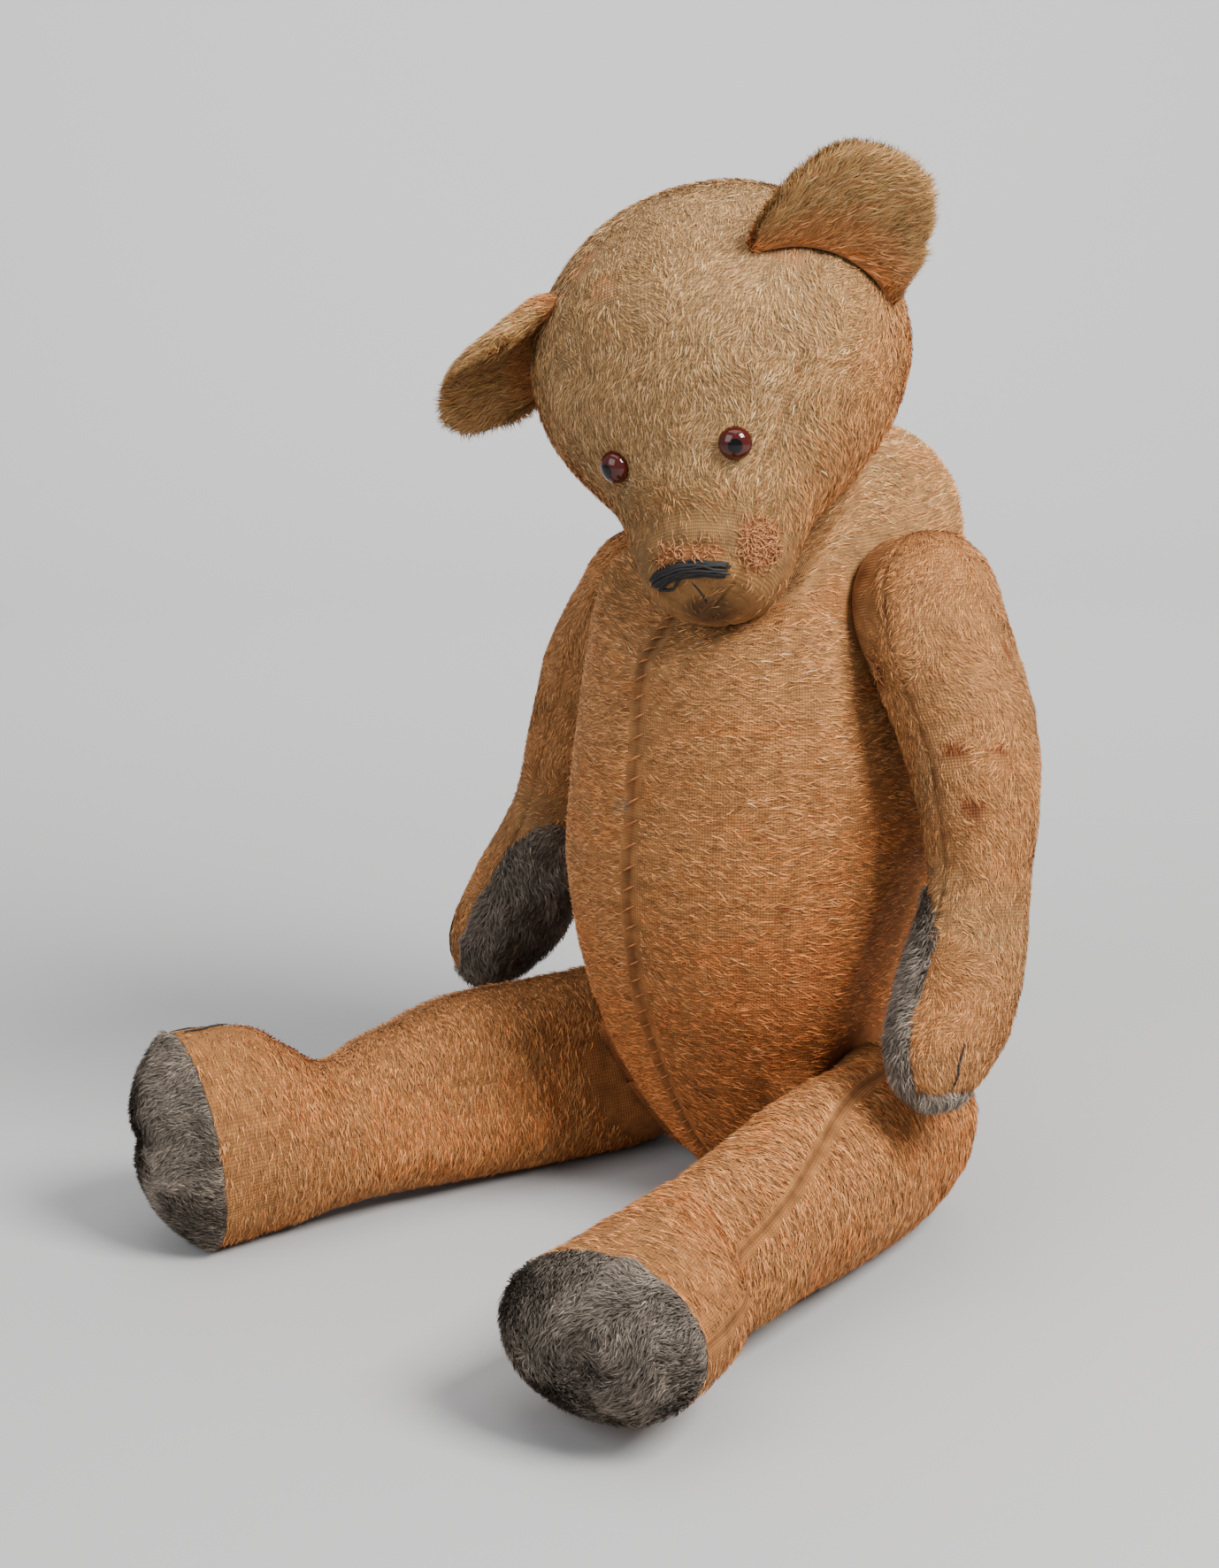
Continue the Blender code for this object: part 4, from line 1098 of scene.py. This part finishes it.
def build_nose():
    """A bar of black satin stitches, with one loop hanging from its end and a line for the mouth."""
    rng = np.random.RandomState(201)
    paths = []
    for row in range(8):
        forward = NOSE_FORWARD - 1.2 + 0.55 * row
        path = []
        reach = NOSE_HALF_ANGLE * (0.94 + 0.1 * rng.rand())
        for step in range(13):
            angle = reach * (2 * step / 12 - 1)
            lift = 0.6 + 1.7 * math.sin(math.pi * (row + 0.5) / 8) + 0.3 * rng.rand()
            point, _ = head_spot(forward + 0.5 * rng.randn() * 0.3, angle, lift)
            path.append(point)
        paths.append(path)
    loop = []
    for step in range(13):
        turn = math.pi * step / 12
        point, _ = head_spot(NOSE_FORWARD + 2.6 + 1.1 * math.sin(turn), -44 + 38 * step / 12, 1.2)
        loop.append(point)
    paths.append(loop)
    nose = tubes("nose_threads", paths, 0.62, "head", BLACK_THREAD)
    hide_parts("nose_stitch")
    path = []
    for step in range(9):
        point, _ = head_spot(97.6 + 3.0 * step / 8, 4 + 14 * step / 8, 0.7)
        path.append(point)
    mouth = tubes("mouth_thread", [path], 0.5, "head", BLACK_THREAD)
    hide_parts("mouth_stitch")


def build_tears():
    """Wood wool showing where the muzzle's cloth has torn."""
    for name, place, count in (("top", MUZZLE_TEARS[0], 70), ("side", MUZZLE_TEARS[1], 170)):
        tangled(f"muzzle_{name}_wood_wool", "head", HEAD, place, count, 211 + count)


CLAWS = {"left_arm": ((-2, 62),), "right_arm": ((-8, -12), (-3, 34)), "right_leg": ((0, -9), (1, 12))}
CLAW_LIFT, CLAW_RADIUS, CLAW_ROWS = 0.7, 0.36, 12


def build_claws():
    """Black claw threads left on the paws and on one foot: (first row, angle) of each."""
    for body, claws in CLAWS.items():
        side_name, limb = body.split("_")
        grid = ARMS[side_name] if limb == "arm" else LEGS[side_name][0]
        paths = []
        for first, turn in claws:
            column = int((turn * SIDES[side_name] % 360) / 360 * grid.columns)
            start = grid.along.shape[0] - (24 if limb == "arm" else 13) + first
            rows = range(start, start + CLAW_ROWS, 2)
            paths.append([grid.points[row, column + k // 3] + grid.normal[row, column] * CLAW_LIFT
                          for k, row in enumerate(rows)])
        tubes(f"{body}_claw_threads", paths, CLAW_RADIUS, body, BLACK_THREAD)


# ---- Hidden hardware ----


def finish_hardware():
    looks = {"disc": HARDBOARD, "washer": STEEL, "pin": STEEL, "loop": STEEL}
    for name, obj in frame["nodes"].items():
        look = looks.get(name.split("_")[-1])
        if look:
            for slot in obj.material_slots:
                slot.material = look


# ---- Stage, lights and camera ----

AZIMUTH, ELEVATION, DISTANCE = 43.9, 15.4, 1073
LENS, SENSOR, ROLL = 81.82, 36.0, -1.4
AIM_RIGHT, AIM_HEIGHT = -60.4, 162.9
PAPER_COLOUR, PAPER_DROP, WORLD_LIGHT = (169, 169, 169), 0.0004, 0.45
KEY_POWER, FILL_POWER, TOP_POWER, BACKDROP_POWER = 72, 20, 19, 40


def build_stage():
    backdrop, tree, shader = shader_of("seamless_paper")
    shader.inputs["Base Color"].default_value = (*linear(PAPER_COLOUR), 1)
    shader.inputs["Roughness"].default_value = 0.95
    across, profile = 3.0, []
    turn = math.radians(AZIMUTH)
    for step in range(5):
        profile.append((-2.0 + 0.8 * step, 0.0))
    for step in range(1, 13):
        a = math.pi / 2 * step / 12
        profile.append((1.2 + 0.8 * math.sin(a), 0.8 * (1 - math.cos(a))))
    profile.append((2.0, 3.2))
    forward = Vector((-math.sin(turn), math.cos(turn), 0))
    right = Vector((math.cos(turn), math.sin(turn), 0))
    points, faces = [], []
    for distance, height in profile:
        for side in (-1, 1):
            sideways = right * side * across
            points.append(forward * distance + sideways + Vector((0, 0, height - PAPER_DROP)))
    for i in range(len(profile) - 1):
        faces.append((2 * i, 2 * i + 1, 2 * i + 3, 2 * i + 2))
    mesh = bpy.data.meshes.new("seamless_paper")
    mesh.from_pydata(points, [], faces)
    mesh.shade_smooth()
    mesh.materials.append(backdrop)
    obj = bpy.data.objects.new("seamless_paper", mesh)
    bpy.context.scene.collection.objects.link(obj)


def area_light(name, place, target, size, power, colour=(1, 1, 1)):
    data = bpy.data.lights.new(name, "AREA")
    data.shape = "RECTANGLE"
    data.size, data.size_y = size
    data.energy = power
    data.color = colour
    obj = bpy.data.objects.new(name, data)
    bpy.context.scene.collection.objects.link(obj)
    obj.location = place
    obj.rotation_euler = (Vector(target) - Vector(place)).to_track_quat("-Z", "Y").to_euler()


def around(azimuth, elevation, distance):
    a, e = math.radians(azimuth), math.radians(elevation)
    return Vector((math.sin(a) * math.cos(e), -math.cos(a) * math.cos(e), math.sin(e))) * distance


def build_lights():
    world = bpy.data.worlds.new("studio")
    bpy.context.scene.world = world
    world.use_nodes = True
    world.node_tree.nodes["Background"].inputs["Color"].default_value = (1, 1, 1, 1)
    world.node_tree.nodes["Background"].inputs["Strength"].default_value = WORLD_LIGHT
    middle = Vector((0, 0, 0.16))
    area_light("key", around(AZIMUTH + 52, 48, 1.9), middle, (0.7, 0.7), KEY_POWER, (1.0, 0.98, 0.95))
    area_light("fill", around(AZIMUTH - 48, 34, 2.1), middle, (1.4, 1.4), FILL_POWER, (0.97, 0.98, 1.0))
    area_light("top", Vector((0, 0.1, 1.9)), middle, (1.6, 1.6), TOP_POWER)
    turn = math.radians(AZIMUTH)
    away = Vector((-math.sin(turn), math.cos(turn), 0))
    area_light("backdrop", away * 0.75 + Vector((0, 0, 1.25)), away * 2.0 + Vector((0, 0, 0.75)),
               (2.4, 0.5), BACKDROP_POWER)


def build_camera():
    data = bpy.data.cameras.new("camera")
    data.sensor_fit = "HORIZONTAL"
    data.sensor_width = SENSOR
    data.lens = LENS
    data.clip_start, data.clip_end = 0.05, 20
    obj = bpy.data.objects.new("camera", data)
    bpy.context.scene.collection.objects.link(obj)
    turn = math.radians(AZIMUTH)
    right = Vector((math.cos(turn), math.sin(turn), 0))
    aim = (SHIFT + right * AIM_RIGHT) * MM
    aim.z = AIM_HEIGHT * MM
    outward = around(AZIMUTH, ELEVATION, DISTANCE * MM)
    obj.location = aim + outward
    look = (-outward).to_track_quat("-Z", "Y").to_matrix().to_4x4()
    obj.matrix_world = Matrix.Translation(obj.location) @ look @ rotation("Z", ROLL)
    bpy.context.scene.camera = obj


# ---- Everything ----

build_camera()
build_stage()
build_lights()
finish_hardware()
TORSO = build_torso()
HEAD = build_head()
ARMS = {side_name: build_arm(side_name) for side_name in SIDES}
LEGS = {side_name: build_leg(side_name) for side_name in SIDES}
for side_name in SIDES:
    build_ear(side_name)
    build_eye(side_name)
build_nose()
build_tears()
build_claws()
